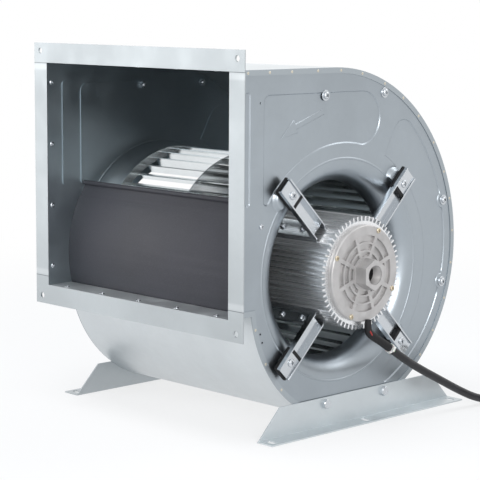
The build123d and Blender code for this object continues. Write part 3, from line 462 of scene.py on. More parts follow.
# %% Painted shade in the joints and painted highlight on the bends of the uprights
JOINT_HALF = 0.0007
JOINT_SHADE_COLOUR = (0.10, 0.11, 0.12)
BEND_REACH = 0.006
BEND_HIGHLIGHT_COLOUR = (0.62, 0.65, 0.67)
JOINTS = ((0.5245, -1), (0.1975, 1))
# Painted light: a pale band of painted highlight on each bend, and a dark hairline of painted shade in each
# joint.
for level, way in JOINTS:
    for centre, reach, strength, colour in (
        (level + way * BEND_REACH, BEND_REACH, 0.5, BEND_HIGHLIGHT_COLOUR),
        (level, JOINT_HALF, 0.75, JOINT_SHADE_COLOUR),
    ):
        distance = upright_zinc.distance_along("Z", centre)
        upright_zinc.tint(upright_zinc.spread(distance, strength, 0.0, reach * 0.4, reach), colour)
print(len(JOINTS), "joints on each upright")

# %% [markdown]
# ## Bright plated screws
# Bolts, nuts and rivets have a thin electroplated zinc coat: much brighter and smoother than the sheet, with
# fine tumbling marks. The motor's screws have the yellow passivated kind, which shifts between straw and
# pink.

# %% The plated finishes
screw_zinc = Finish("zinc_steel", (0.60, 0.63, 0.66), 1.0, 0.2)
screw_marks = screw_zinc.noise(420.0, detail=4.0)
screw_zinc.layer(screw_marks, (0.42, 0.44, 0.47), 0.5, (0.5, 0.75), rough=(0.16, 0.36), relief=(0.00008, 0.4))
screw_zinc.put_on("casing_nuts", "foot_nuts", "arm_nuts", "hub_rivets")

yellow_zinc = Finish("yellow_zinc", (0.62, 0.56, 0.42), 1.0, 0.26)
yellow_zinc.layer(yellow_zinc.noise(260.0), (0.56, 0.45, 0.36), 0.7, (0.4, 0.65), rough=(0.2, 0.38))

# %% [markdown]
# ## Dark coated sheet
# The cutoff plate is charcoal with a satin coat. A fine orange peel breaks its reflection into soft grain,
# and a few rubbed patches are a little glossier.

# %% The dark coating
dark_coat = Finish("dark_coated_sheet", (0.046, 0.046, 0.055), 0.0, 0.62, Specular_IOR_Level=0.3)
coat_peel = dark_coat.noise(900.0, detail=2.0)
coat_specks = dark_coat.noise(1400.0, detail=1.0)
coat_clouds = dark_coat.noise(9.0, detail=4.0)
dark_coat.layer(coat_clouds, (0.066, 0.066, 0.078), 0.6, (0.4, 0.7), rough=(0.42, 0.6))
dark_coat.layer(coat_specks, (0.13, 0.13, 0.145), 0.5, (0.58, 0.72))
dark_coat.relief(coat_peel, 0.00006, 0.5)
dark_coat.put_on("cutoff_plate")

# %% [markdown]
# ## Aluminium, drawn and cast
# The housing is pressed through a die, so fine lines run along the shaft and the fins reflect like brushed
# metal. The end shields are cast and blasted, with a matt, slightly warm grain and no direction at all.

# %% The aluminium finishes
drawn_aluminium = Finish("housing_aluminium", (0.84, 0.85, 0.86), 0.85, 0.27)
die_lines = drawn_aluminium.noise(1.0, detail=6.0, place=drawn_aluminium.stretched((3.0, 900.0, 900.0)))
die_clouds = drawn_aluminium.noise(30.0)
drawn_aluminium.layer(
    die_lines, (0.62, 0.63, 0.65), 0.3, (0.45, 0.75), rough=(0.2, 0.36), relief=(0.00002, 0.3))
drawn_aluminium.layer(die_clouds, (0.93, 0.93, 0.94), 0.3, (0.45, 0.7))
drawn_aluminium.put_on("motor_housing")

cast_aluminium = Finish("cast_aluminium", (0.53, 0.517, 0.512), 0.65, 0.4)
cast_grain = cast_aluminium.noise(900.0)
cast_clouds = cast_aluminium.noise(45.0, detail=4.0)
cast_aluminium.layer(cast_clouds, (0.31, 0.30, 0.295), 0.4, (0.4, 0.7))
cast_aluminium.layer(
    cast_grain, (0.52, 0.51, 0.50), 0.35, (0.5, 0.8), rough=(0.36, 0.52), relief=(0.00012, 0.5))
cast_aluminium.put_on("end_shield_outer", "end_shield_inner")

# %% [markdown]
# ## Steel, laminations and copper inside
# Only glimpses of the inner parts show past the blades and through the hub, but a part that is taken to
# pieces shows them all: ground bearing rings, a turned shaft and hub, stacked laminations and varnished
# copper.

# %% The inner finishes
turned_steel = Finish("turned_steel", (0.50, 0.50, 0.51), 1.0, 0.28)
turning_lines = turned_steel.noise(1.0, place=turned_steel.stretched((2400.0, 6.0, 6.0)))
turned_steel.layer(turning_lines, (0.36, 0.36, 0.37), 0.5, rough=(0.2, 0.4))
turned_steel.put_on("motor_shaft", "wheel_hub", "hub_set_screw")

bearing_steel = Finish("bearing_steel", (0.62, 0.62, 0.63), 1.0, 0.12)
bearing_steel.layer(bearing_steel.noise(180.0), (0.50, 0.50, 0.52), 0.4, rough=(0.08, 0.2))
bearing_steel.put_on(*[name for name in nodes if name.startswith("bearing_")])

laminations = Finish("laminated_steel", (0.24, 0.24, 0.26), 1.0, 0.42)
stack_lines = laminations.noise(1.0, detail=1.0, place=laminations.stretched((2000.0, 3.0, 3.0)))
laminations.layer(stack_lines, (0.13, 0.13, 0.15), 1.0, (0.4, 0.6), relief=(0.0002, 0.6))
laminations.put_on("rotor_core", "stator_core")

copper = Finish("winding_copper", (0.55, 0.22, 0.10), 0.9, 0.3, Coat_Weight=0.5, Coat_Roughness=0.15)
wire_lines = copper.noise(1.0, detail=2.0, place=copper.stretched((900.0, 120.0, 120.0)))
copper.layer(wire_lines, (0.30, 0.10, 0.045), 0.8, (0.4, 0.6), relief=(0.0004, 0.7))
copper.put_on("stator_windings")

# %% [markdown]
# ## Rubber, cable jacket and nylon
# The arms' boots and the cable's boot are soft black rubber with a dull moulded skin. The cable's jacket is
# smoother, with a faint sheen, and the tie and connector are natural nylon, which lets a little light in.

# %% The soft and plastic finishes
rubber = Finish("black_rubber", (0.010, 0.010, 0.011), 0.0, 0.5, Specular_IOR_Level=0.3)
rubber_skin = rubber.noise(520.0)
rubber.layer(rubber.noise(60.0, detail=4.0), (0.032, 0.032, 0.034), 0.35, (0.45, 0.75))
rubber.roughen(rubber.spread(rubber_skin, 0.5, 0.72))
rubber.relief(rubber_skin, 0.0001, 0.5)
cable_boot.data.materials.append(rubber.material)

jacket = Finish("black_cable", (0.012, 0.012, 0.014), 0.0, 0.34, Specular_IOR_Level=0.4)
jacket_skin = jacket.noise(300.0)
jacket.layer(jacket.noise(35.0, detail=4.0), (0.035, 0.035, 0.04), 0.4, (0.45, 0.75))
jacket.roughen(jacket.spread(jacket_skin, 0.34, 0.5))
jacket.relief(jacket_skin, 0.00008, 0.4)
power_cord.data.materials.append(jacket.material)

red_paint = Finish("red_insulation", (0.42, 0.02, 0.015), 0.0, 0.4)
red_paint.layer(red_paint.noise(400.0), (0.25, 0.012, 0.01), 0.6)
red_core.data.materials.append(red_paint.material)

nylon = Finish("white_nylon", (0.83, 0.82, 0.78), 0.0, 0.4, Subsurface_Weight=0.08, Subsurface_Scale=0.002)
nylon.layer(nylon.noise(150.0), (0.74, 0.73, 0.68), 0.4, rough=(0.32, 0.5))
nylon.put_on("cable_tie", "cable_connector")

# %% [markdown]
# ## Rounded edges
# No edge of a pressed or cast piece is perfectly sharp, and its highlight is what makes a sheet look like
# metal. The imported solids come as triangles, so flat areas are dissolved into whole faces first, and then a
# small bevel rounds every sharp edge. The widths follow the process: thin sheet is cut nearly sharp, and
# castings are rounder.

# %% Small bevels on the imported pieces
MERGE_REACH = 1e-6
FLAT_ANGLE = math.radians(0.8)
SHARP_ANGLE = math.radians(40)


def soften(width, *names):
    """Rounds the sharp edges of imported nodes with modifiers, so that their meshes stay as they are."""
    for name in names:
        node = nodes[name]
        weld = node.modifiers.new("weld", "WELD")
        weld.merge_threshold = MERGE_REACH
        flatten = node.modifiers.new("flatten", "DECIMATE")
        flatten.decimate_type = "DISSOLVE"
        flatten.angle_limit = FLAT_ANGLE
        edges = node.modifiers.new("edges", "BEVEL")
        edges.width = width
        edges.segments = 2
        edges.limit_method = "ANGLE"
        edges.angle_limit = SHARP_ANGLE
        edges.harden_normals = True
    print(len(names), "nodes have edges of", width, "m")


soften(0.4 * MM, "flange_top", "flange_bottom", "flange_motor_side", "flange_far_side")
soften(0.6 * MM, "foot_rail_motor_side", "foot_rail_far_side")
soften(0.7 * MM, *ARMS)
soften(0.5 * MM, "end_shield_outer", "end_shield_inner", "wheel_hub")
soften(0.3 * MM, "motor_housing", "cutoff_plate")

# %% [markdown]
# ## Turned shapes
# Screw heads, rivets and pressed marks are all round, so one helper spins a profile about an axis. A second
# helper turns a small mesh to any direction, and a third joins the copies, so the fan gets one piece for each
# kind.

# %% Helpers for small pieces
def as_mesh(name, shape):
    """Mesh data from a bmesh, which is freed."""
    mesh = bpy.data.meshes.new(name)
    shape.to_mesh(mesh)
    shape.free()
    return mesh


def spun_mesh(name, profile, segments=28):
    """A mesh from (radius, height) pairs, spun about Z; a radius of zero closes it on the axis."""
    shape = bmesh.new()
    turns = [2 * math.pi * index / segments for index in range(segments)]
    rings = []
    for radius, height in profile:
        around = turns if radius else [0.0]
        rings.append([
            shape.verts.new((radius * math.cos(turn), radius * math.sin(turn), height)) for turn in around])
    for lower, upper in zip(rings, rings[1:]):
        for index in range(segments):
            following = (index + 1) % segments
            corners = []
            for ring, place in ((lower, index), (lower, following), (upper, following), (upper, index)):
                corner = ring[place % len(ring)]
                if corner not in corners:
                    corners.append(corner)
            if len(corners) > 2:
                shape.faces.new(corners)
    bmesh.ops.recalc_face_normals(shape, faces=shape.faces[:])
    return as_mesh(name, shape)


def facing(place, outward, spin=0.0):
    """Matrix that puts a small mesh at a place with its Z along outward."""
    turn = Vector(outward).to_track_quat("Z", "Y").to_matrix().to_4x4()
    return Matrix.Translation(place) @ turn @ Matrix.Rotation(spin, 4, "Z")


def joined_piece(name, parts, finish, sharp_angle=35):
    """One object on the casing from (mesh, matrix) pairs, with its finish."""
    shape = bmesh.new()
    for mesh, matrix in parts:
        copy = mesh.copy()
        copy.transform(matrix)
        shape.from_mesh(copy)
        bpy.data.meshes.remove(copy)
    mesh = as_mesh(name, shape)
    mesh.shade_smooth()
    mesh.set_sharp_from_angle(angle=math.radians(sharp_angle))
    mesh.materials.append(finish.material)
    piece = placed(name, mesh)
    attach(piece, "casing")
    print(name, "has", len(parts), "parts and", len(mesh.polygons), "faces")
    return piece


def from_shaft(x, y, z):
    """Point at a distance from the middle of the shaft."""
    return SHAFT + Vector((x, y, z))


def about_shaft(x, radius, angle):
    """Point at x along the shaft, at a radius and an angle in degrees from +Y towards +Z."""
    turn = math.radians(angle)
    return from_shaft(x, radius * math.cos(turn), radius * math.sin(turn))


# %% [markdown]
# ## Screws with a cross recess
# A flat disc reads as a button, not as a screw. Each head is a low dome, some on a washer, and a tapered
# cross is cut from it with a boolean, once for each size. The copies are turned at random, as real screws
# are.

# %% Shanks and cutters
def thread_profile(radius, length, pitch):
    """The shank from its free end upward, with ridges for the thread."""
    profile = [(0.0, -length), (radius * 0.8, -length)]
    height = -length + pitch / 2
    while height < -pitch:
        profile += [(radius, height), (radius * 0.86, height + pitch / 2)]
        height += pitch
    return profile + [(radius, -pitch / 2), (radius, 0.0)]


def cross_cutter(reach, width, depth):
    """A cross that narrows downward, open at the top."""
    corners = []
    for quarter in range(4):
        turn = Matrix.Rotation(quarter * math.pi / 2, 2)
        for corner in ((width, width), (reach, width), (reach, -width)):
            corners.append(turn @ Vector(corner))
    corners.sort(key=lambda corner: math.atan2(corner.y, corner.x))
    shape = bmesh.new()
    top = [shape.verts.new((corner.x * 1.1, corner.y * 1.1, depth)) for corner in corners]
    low = [shape.verts.new((corner.x * 0.6, corner.y * 0.6, -depth)) for corner in corners]
    shape.faces.new(top)
    shape.faces.new(low[::-1])
    for index in range(len(corners)):
        following = (index + 1) % len(corners)
        shape.faces.new((top[index], low[index], low[following], top[following]))
    bmesh.ops.recalc_face_normals(shape, faces=shape.faces[:])
    return as_mesh("cross_cutter", shape)


def boolean_mesh(name, solid_mesh, tool_mesh, operation, tool_level=0.0):
    """What a boolean leaves of a small mesh, with the tool raised to its own level."""
    solid = placed(name, solid_mesh)
    tool = placed(name + "_tool", tool_mesh)
    tool.location.z = tool_level
    cut = solid.modifiers.new("cut", "BOOLEAN")
    cut.operation = operation
    cut.solver = "EXACT"
    cut.object = tool
    bpy.context.view_layer.update()
    graph = bpy.context.evaluated_depsgraph_get()
    mesh = bpy.data.meshes.new_from_object(solid.evaluated_get(graph))
    for item in (solid, tool):
        bpy.data.objects.remove(item)
    return mesh


# %% A screw with its recess
DOME_STEPS = 5
WASHER_EDGE = 0.2 * MM
SCREW_PITCH = 1.0 * MM


def recessed_screw(name, head, shank, washer=(0.0, 0.0)):
    """A domed screw on z = 0; the head and the washer are (radius, height), the shank is (radius, length)."""
    head_radius, head_height = head
    washer_radius, washer_height = washer
    profile = thread_profile(*shank, SCREW_PITCH)
    if washer_radius:
        inner_radius = washer_radius - WASHER_EDGE
        profile += [(inner_radius, 0.0), (washer_radius, WASHER_EDGE),
                    (washer_radius, washer_height - WASHER_EDGE), (inner_radius, washer_height)]
    profile.append((head_radius, washer_height))
    side = 0.35 * head_height
    for step in range(DOME_STEPS + 1):
        turn = math.radians(90 / DOME_STEPS * step)
        radius = head_radius * math.cos(turn) ** 0.7 if step < DOME_STEPS else 0.0
        profile.append((radius, washer_height + side + (head_height - side) * math.sin(turn)))
    cross = cross_cutter(0.66 * head_radius, 0.16 * head_radius, 0.8 * head_height)
    return boolean_mesh(name, spun_mesh(name, profile), cross, "DIFFERENCE", washer_height + head_height)


# %% Screws of the casing and of the arms
random.seed(7)
QUARTER_TURN = 1.57
HALF_WIDTH = 0.200
PLATE_FACE = 0.201
SEAM_FACE = 0.202
SIDES = (("motor_side", 1), ("far_side", -1))
CASING_SCREWS = [(-0.038, 0.2565), (0.090, 0.2565), (0.232, 0.086), (0.232, -0.042)]
ARM_ANGLES = (45, 135, 225, 315)
ARM_CIRCLE = 0.169
WASHER_FACE = 0.217
LEG_PLACES = (0.145, 0.185)
LEG_FACE = 0.0924


def turned(place, outward):
    """Like facing, with the screw turned at random."""
    return facing(place, outward, random.uniform(0, QUARTER_TURN))


casing_screw = recessed_screw("casing_screw", (0.0052, 0.0034), (0.0029, 0.0105), washer=(0.0078, 0.0012))
casing_places = [
    (casing_screw, turned(from_shaft(side * PLATE_FACE, along, up), (side, 0, 0)))
    for name, side in SIDES for along, up in CASING_SCREWS
]
casing_screws = joined_piece("casing_screws_cross", casing_places, screw_zinc)
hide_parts("casing_screws")

arm_screw = recessed_screw("arm_screw", (0.0060, 0.0030), (0.0029, 0.024))
arm_places = [
    (arm_screw, turned(about_shaft(WASHER_FACE, ARM_CIRCLE, angle), (1, 0, 0))) for angle in ARM_ANGLES
]
arm_screws = joined_piece("arm_screws_cross", arm_places, screw_zinc)
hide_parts("arm_bolts")

leg_screw = recessed_screw("leg_screw", (0.0048, 0.0036), (0.0024, 0.0184), washer=(0.0060, 0.00096))
leg_places = []
for angle in ARM_ANGLES:
    outward = about_shaft(0, 1, angle) - SHAFT
    for along in LEG_PLACES:
        leg_places.append((leg_screw, turned(about_shaft(along, LEG_FACE, angle), outward)))
leg_screws = joined_piece("leg_screws_cross", leg_places, screw_zinc)
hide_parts("leg_screws")

# %% Screws of the shields and of the cutoff plate
SHIELD_FACE = 0.248
INNER_SHIELD_FACE = 0.084
SHIELD_CIRCLE = 0.0665
SHIELD_ANGLES = (65, 155, 245, 335)
CUTOFF_CIRCLE = 0.1825
CUTOFF_ANGLE = 154.8
shield_screw = recessed_screw("shield_screw", (0.0040, 0.0020), (0.0020, 0.018))
shield_places = [
    (shield_screw, turned(about_shaft(face, SHIELD_CIRCLE, angle), (way, 0, 0)))
    for face, way in ((SHIELD_FACE, 1), (INNER_SHIELD_FACE, -1)) for angle in SHIELD_ANGLES
]
shield_screws = joined_piece("shield_screws_cross", shield_places, yellow_zinc)
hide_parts("shield_screws")

cutoff_screw = recessed_screw("cutoff_screw", (0.0040, 0.0020), (0.0020, 0.0045))
cutoff_places = [
    (cutoff_screw, turned(about_shaft(side * PLATE_FACE, CUTOFF_CIRCLE, CUTOFF_ANGLE), (side, 0, 0)))
    for name, side in SIDES
]
cutoff_screws = joined_piece("cutoff_screws_cross", cutoff_places, screw_zinc)
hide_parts("cutoff_screws")

# %% [markdown]
# ## Hexagon bolts of the feet
# A forged hexagon head has its corners turned off by a chamfer of about thirty degrees, which gives the
# curved arcs on its flats. Cutting a hexagon prism with a wide cone makes exactly that shape.

# %% The foot bolts
BOLT_PITCH = 1.25 * MM
CHAMFER_DROP = 0.0028
CONE_SPARE = 0.0001


def hexagon_bolt(name, across, height, shank_radius, shank_length):
    """A hexagon head on z = 0 with a turned chamfer, and its threaded shank below."""
    corner = across / 2 / math.cos(math.pi / 6)
    head = spun_mesh(name, [(0, 0), (corner, 0), (corner, height), (0, height)], segments=6)
    cone = spun_mesh(name, [
        (0, -0.001), (corner * 1.3, -0.001), (corner * 1.3, height - CHAMFER_DROP),
        (across / 2 * 0.93, height + CONE_SPARE), (0, height + CONE_SPARE)], segments=48)
    shape = bmesh.new()
    shape.from_mesh(boolean_mesh(name, head, cone, "INTERSECT"))
    shape.from_mesh(spun_mesh(name, thread_profile(shank_radius, shank_length, BOLT_PITCH) + [(0, 0)]))
    return as_mesh(name, shape)


FOOT_WEB_FACE = 0.204
FOOT_BOLTS = ((-0.033, -0.195), (0.095, -0.195))
foot_bolt = hexagon_bolt("foot_bolt", 0.013, 0.0053, 0.0039, 0.0135)
foot_places = []
for name, side in SIDES:
    for along, up in FOOT_BOLTS:
        place = from_shaft(side * FOOT_WEB_FACE, along, up)
        foot_places.append((foot_bolt, facing(place, (side, 0, 0), random.uniform(0, 1.0))))
foot_bolts = joined_piece("foot_bolts_chamfered", foot_places, screw_zinc, sharp_angle=25)
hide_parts("foot_bolts")

# %% [markdown]
# ## Blind rivets
# A blind rivet leaves a domed flange on one side with a round pit where its pin was pulled through, and a
# swollen end on the other. The pit is what the eye finds in the photograph, so the profile dips to the
# middle.

# %% The rivets of the outlet frame
def blind_rivet(name, head, head_height, shank, grip, tail):
    """Head on z = 0 pointing up, shank through the grip below, and the swollen tail at its end."""
    pit = 0.45 * head
    return spun_mesh(name, [
        (0, -grip - head_height), (tail * 0.6, -grip - head_height), (tail, -grip - 0.4 * head_height),
        (tail * 0.9, -grip), (shank, -grip), (shank, 0), (head, 0), (head * 0.97, 0.35 * head_height),
        (head * 0.7, 0.9 * head_height), (pit, head_height), (pit * 0.85, 0.7 * head_height),
        (pit * 0.8, -0.4 * head_height), (0, -0.4 * head_height),
    ], segments=24)


rivet = blind_rivet("blind_rivet", 0.0040, 0.0013, 0.0016, 0.0025, 0.0024)
RIVET_Y = -0.2185
OUTLET_TOP = 0.295
OUTLET_FLOOR = -0.046
SIDE_RIVETS = [-0.017 + 0.094 * step for step in range(4)]
ACROSS_RIVETS = [0.083 * step for step in range(-2, 3)]
rivet_places = []
for name, side in SIDES:
    for up in SIDE_RIVETS:
        rivet_places.append((rivet, facing(from_shaft(side * HALF_WIDTH, RIVET_Y, up), (-side, 0, 0))))
for up, way in ((OUTLET_TOP, 1), (OUTLET_FLOOR, -1)):
    for across in ACROSS_RIVETS:
        rivet_places.append((rivet, facing(from_shaft(across, RIVET_Y, up), (0, 0, -way))))
rivets = joined_piece("flange_rivets_domed", rivet_places, screw_zinc)
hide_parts("flange_rivets")

# %% [markdown]
# ## Thin rubber boots on raised seats
# Each arm ends in a thin rubber boot that keeps the motor's hum out of the casing. Under it the side plate is
# drawn up into a round seat, cut off by the rim of the inlet. The boot is built from rounded blocks in the
# arm's own directions: along the shaft, outward and across.

# %% Blocks in an arm's directions
def block(low, high, edge):
    """A box between two corners with all its edges rounded."""
    shape = bmesh.new()
    bmesh.ops.create_cube(shape, size=1.0)
    low, high = Vector(low), Vector(high)
    for vertex in shape.verts:
        vertex.co = Vector(middle + (far - near) * share for middle, near, far, share in zip(
            (low + high) / 2, low, high, vertex.co))
    bmesh.ops.bevel(shape, geom=shape.edges[:], offset=edge, segments=2, profile=0.5, affect="EDGES")
    return as_mesh("block", shape)


def arm_directions(angle):
    """Matrix from (along the shaft, outward, across) to the fan's own frame."""
    return Matrix.Translation(SHAFT) @ Matrix.Rotation(math.radians(angle), 4, "X")


def at_angles(blocks, angles):
    """The blocks once for each angle, as (mesh, matrix) pairs."""
    return [(part, arm_directions(angle)) for angle in angles for part in blocks]


# %% The boots and the plates
ARM_BACK = 0.209
BOOT_BACK = ARM_BACK - 0.002
ARM_HALF = 0.013
ARM_END = 0.1905
ARM_SHEET = 0.002
BOOT_WALL = 0.0009
BOOT_END = ARM_END + BOOT_WALL
BOOT_HALF = ARM_HALF + BOOT_WALL
BOOT_START = 0.1515
LIP_FRONT = 0.2118
CORE_FACE = 0.215
CORE_HALF = ARM_HALF - ARM_SHEET - 0.0003
boot_blocks = [
    block((BOOT_BACK, BOOT_START, -BOOT_HALF), (ARM_BACK, BOOT_END, BOOT_HALF), 0.0004),
    block((BOOT_BACK, ARM_END, -BOOT_HALF), (LIP_FRONT, BOOT_END, BOOT_HALF), 0.0003),
    block((ARM_BACK + ARM_SHEET, BOOT_START, -CORE_HALF), (CORE_FACE, ARM_END - 0.001, CORE_HALF), 0.0005),
    block((CORE_FACE - 0.001, BOOT_START, -CORE_HALF), (CORE_FACE + 0.0022, 0.1565, CORE_HALF), 0.0005),
    block((BOOT_BACK, BOOT_START, ARM_HALF), (LIP_FRONT, BOOT_END, BOOT_HALF), 0.0003),
    block((BOOT_BACK, BOOT_START, -BOOT_HALF), (LIP_FRONT, BOOT_END, -ARM_HALF), 0.0003),
]
boots = joined_piece("rubber_boots", at_angles(boot_blocks, ARM_ANGLES), rubber)
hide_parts("rubber_mounts")

plate_block = block((CORE_FACE, 0.157, -CORE_HALF), (WASHER_FACE, 0.1902, CORE_HALF), 0.0006)
plates = joined_piece("arm_plates_rounded", at_angles([plate_block], ARM_ANGLES), arm_zinc)
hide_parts("arm_washers")

# %% The drawn seats
SEAT_TURN = 3.0
MOUTH_RADIUS = 0.163
IN_PLACE = Matrix.Identity(4)
seat_profile = [(0, 0), (0.0190, 0), (0.0175, 0.0006), (0.0150, 0.0045), (0.0135, 0.0056), (0.0115, 0.0060),
                (0, 0.0060)]
seats = []
for angle in ARM_ANGLES:
    seat = spun_mesh("seat", seat_profile, segments=48)
    seat.transform(facing(about_shaft(PLATE_FACE, ARM_CIRCLE, angle + SEAT_TURN), (1, 0, 0)))
    for vertex in seat.vertices:
        outward = vertex.co - SHAFT
        outward.x = 0
        if outward.length < MOUTH_RADIUS:
            vertex.co += outward.normalized() * (MOUTH_RADIUS - outward.length)
    seats.append((seat, IN_PLACE))
joined_piece("arm_seats_drawn", seats, shaded_plate_zinc, sharp_angle=60)

# %% [markdown]
# ## Flanks of the pressed panels
# A press can't leave an upright step: the sheet runs down a slope about two millimetres wide, and that slope
# is the bright line round every panel and round the arrow. The rims are found on the side plate itself, where
# a wall drops by exactly the depth of the pressing, and a smooth strip is laid from each rim to the panel's
# floor.

# %% The flank strips
PRESS_DEPTH = 0.0015
PANEL_FLOOR = PLATE_FACE - PRESS_DEPTH
PANEL_FLANK = 0.0019
ARROW_FACE = PANEL_FLOOR + 0.0008
ARROW_FLANK = 0.0016
FLANK_STEPS = 5
SKIN = 0.00003
plate_finish = {"motor_side": shaded_plate_zinc, "far_side": far_zinc}


def rim_walls(source, side, rim, low):
    """Edges at the rim of an upright wall, and for each of their corners the way that leads off the rim."""
    rim_edges = []
    inward = {}
    for edge in source.edges:
        if any(abs(side * vertex.co.x - rim) > 1e-5 for vertex in edge.verts):
            continue
        for face in edge.link_faces:
            foot = any(abs(side * vertex.co.x - low) < 2e-5 for vertex in face.verts)
            if foot and abs(face.normal.x) < 0.1:
                rim_edges.append(edge)
                for vertex in edge.verts:
                    inward[vertex] = inward.get(vertex, Vector()) + face.normal
    return rim_edges, inward


def pressing_flanks(source, side, rim, low, width):
    """A sloped strip along each upright wall of a side plate that drops from the rim to the low level."""
    rim_edges, inward = rim_walls(source, side, rim, low)
    strip = bmesh.new()
    rows = {}
    for vertex, way in inward.items():
        rows[vertex] = []
        for step in range(FLANK_STEPS + 1):
            share = step / FLANK_STEPS
            drop = share * share * (3 - 2 * share)
            place = vertex.co + way.normalized() * width * share
            place.x = side * (rim + SKIN - (rim - low) * drop)
            rows[vertex].append(strip.verts.new(place))
    for edge in rim_edges:
        first, second = (rows[vertex] for vertex in edge.verts)
        for step in range(FLANK_STEPS):
            face = strip.faces.new((first[step], first[step + 1], second[step + 1], second[step]))
            face.normal_update()
            if face.normal.x * side < 0:
                face.normal_flip()
    return as_mesh("flanks", strip)


for side_name, side in SIDES:
    plate = bmesh.new()
    plate.from_mesh(nodes["side_plate_" + side_name].data)
    bmesh.ops.remove_doubles(plate, verts=plate.verts[:], dist=MERGE_REACH)
    strips = [
        pressing_flanks(plate, side, PLATE_FACE, PANEL_FLOOR, PANEL_FLANK),
        pressing_flanks(plate, side, ARROW_FACE, PANEL_FLOOR, ARROW_FLANK),
    ]
    plate.free()
    joined_piece("pressing_flanks_" + side_name, [(strip, IN_PLACE) for strip in strips],
                 plate_finish[side_name], sharp_angle=80)

# %% [markdown]
# ## The crease round the inlets
# Where the flat plate turns into the drawn inlet, the die leaves a low round bead outside and a second one
# inside, a sheet's thickness further out. Both are thin rings with the same profile.

# %% The creases
INNER_SHIFT = 0.0015
crease_profile = [(0.1618, -0.0004), (0.1626, 0.0003), (0.1634, 0.0007), (0.1642, 0.0007), (0.1652, 0.0003),
                  (0.1662, -0.0003), (0.1618, -0.0004)]
inner_profile = [(radius + INNER_SHIFT, height) for radius, height in crease_profile]
crease = spun_mesh("crease", crease_profile, segments=180)
inner_crease = spun_mesh("inner_crease", inner_profile, segments=180)
for side_name, side in SIDES:
    outer_place = facing(from_shaft(side * PLATE_FACE, 0, 0), (side, 0, 0))
    inner_place = facing(from_shaft(side * HALF_WIDTH, 0, 0), (-side, 0, 0))
    joined_piece("inlet_crease_" + side_name, [(crease, outer_place), (inner_crease, inner_place)],
                 plate_finish[side_name], sharp_angle=80)

# %% [markdown]
# ## The motor's end
# The cast shield has eight spokes between its three rings of pockets. Its hexagonal boss is threaded inside,
# and a black cap closes the bearing behind it.

# %% Spokes of the shield
POCKETS = ((0.0253, 0.0317), (0.0343, 0.0437), (0.0458, 0.0562))
SPOKE_HALF = 0.003
spoke_blocks = [
    block((SHIELD_FACE - 0.0042, inner, -SPOKE_HALF), (SHIELD_FACE - 0.00005, outer, SPOKE_HALF), 0.0004)
    for inner, outer in POCKETS
]
joined_piece("shield_spokes", at_angles(spoke_blocks, SHIELD_ANGLES), cast_aluminium)

# %% Thread and cap of the boss
BORE_RADIUS = 0.01398
BORE_LENGTH = 0.0195
THREAD_PITCH = 0.0015
THREAD_TURNS = 12
bore_profile = [(BORE_RADIUS, 0.0)]
for turn in range(THREAD_TURNS):
    level = 0.001 + turn * THREAD_PITCH
    bore_profile += [(0.01330, level), (0.01385, level + THREAD_PITCH / 2)]
bore_profile.append((BORE_RADIUS, BORE_LENGTH))
bore_place = facing(from_shaft(SHIELD_FACE + 0.0003, 0, 0), (1, 0, 0))
joined_piece("boss_thread", [(spun_mesh("boss_thread", bore_profile, segments=40), bore_place)],
             cast_aluminium)
cap_profile = [(0, 0.0015), (0.0133, 0.0015), (0.0133, 0.0035), (0.0118, 0.0042), (0.0085, 0.0042),
               (0.0080, 0.0032), (0.0035, 0.0032), (0.0030, 0.0040), (0, 0.0040)]
joined_piece("bearing_cap", [(spun_mesh("bearing_cap", cap_profile), bore_place)], rubber)

# %% [markdown]
# ## Blanked holes of the far side
# Both side plates come from one press tool, but only the motor's side has its arm holes and its gauge holes
# knocked out. On the far side their blanks stay in place, just below the sheet's outer face.

# %% The blanks
GAUGE_HOLES = [(-0.166, -0.0745), (-0.162, -0.087), (-0.169, 0.250)]
blank_disc = spun_mesh("blank_disc", [(0, 0.0002), (0.0031, 0.0002), (0.0031, 0.0008), (0, 0.0008)])
blank_places = [about_shaft(-PLATE_FACE, ARM_CIRCLE, angle) for angle in ARM_ANGLES]
blank_places += [from_shaft(-PLATE_FACE, along, up) for along, up in GAUGE_HOLES]
blanks = [(blank_disc, facing(place, (1, 0, 0))) for place in blank_places]
joined_piece("far_side_blanks", blanks, frame_zinc)

# %% [markdown]
# ## Clinched seam
# The scroll's edge is folded over the side plate and locked by small clinch points about 50 mm apart. They
# follow the straight top and the three arcs of the scroll, so that path is walked in fine steps and a mark is
# set down at each pitch.

# %% The path of the seam
HALF_STEP = 0.01825
ARC_RADII = (0.27675, 0.24025, 0.20375)
ARC_STEPS = 400
TOP_START = -0.206
TOP_STEPS = 188
TOP_STEP = 0.001


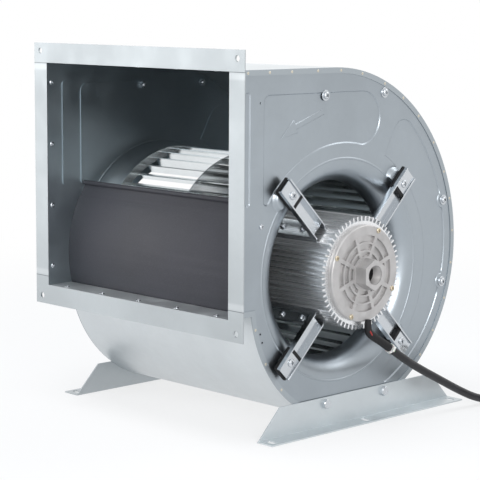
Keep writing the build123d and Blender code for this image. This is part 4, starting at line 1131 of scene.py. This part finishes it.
def scroll_path(grow):
    """Points (along, up) of the scroll's outline from the outlet's top, moved outward by grow."""
    back, low, front = (radius + grow for radius in ARC_RADII)
    last_drop = math.degrees(math.asin((-HALF_STEP - OUTLET_FLOOR + grow) / front))
    points = [(TOP_START + TOP_STEP * step, OUTLET_TOP + grow) for step in range(TOP_STEPS)]
    for centre_y, centre_z, radius, first, last in (
        (-HALF_STEP, HALF_STEP, back, 90, 0),
        (HALF_STEP, HALF_STEP, low, 0, -90),
        (HALF_STEP, -HALF_STEP, front, -90, last_drop - 180),
    ):
        for step in range(ARC_STEPS + 1):
            turn = math.radians(first + (last - first) * step / ARC_STEPS)
            points.append((centre_y + radius * math.cos(turn), centre_z + radius * math.sin(turn)))
    return points


def walked(points, pitch, start):
    """Places along a fine path, about one pitch apart, as uneven as the real ones."""
    places = []
    travelled = 0.0
    wanted = start
    for before, after in zip(points, points[1:]):
        travelled += math.dist(before, after)
        if travelled >= wanted:
            places.append(after)
            wanted += pitch * random.uniform(0.8, 1.2)
    return places


# %% The clinch marks
CLINCH_PITCH = 0.050
CLINCH_START = 0.012
LIP_MIDDLE = -0.0032
FOOT_TOP = 0.046
clinch = spun_mesh("clinch", [
    (0, -0.0003), (0.0021, -0.0003), (0.0021, 0.0001), (0.0016, 0.0004), (0.0009, 0.00045), (0.0007, 0.00015),
    (0, 0.0001)], segments=16)
clinch_zinc = Finish("clinch_zinc", (0.66, 0.63, 0.55), 1.0, 0.3, slot=SHEET)
clinch_zinc.layer(clinch_zinc.noise(500.0), (0.52, 0.46, 0.36), 0.6, rough=(0.22, 0.42))
for side_name, side in SIDES:
    marks = []
    for along, up in walked(scroll_path(LIP_MIDDLE), CLINCH_PITCH, CLINCH_START):
        place = from_shaft(side * SEAM_FACE, along, up)
        if place.z > FOOT_TOP:
            marks.append((clinch, facing(place, (side, 0, 0))))
    joined_piece("clinch_marks_" + side_name, marks, clinch_zinc)

# %% Last update and the view transform
bpy.context.view_layer.update()
scene.view_settings.view_transform = "Standard"
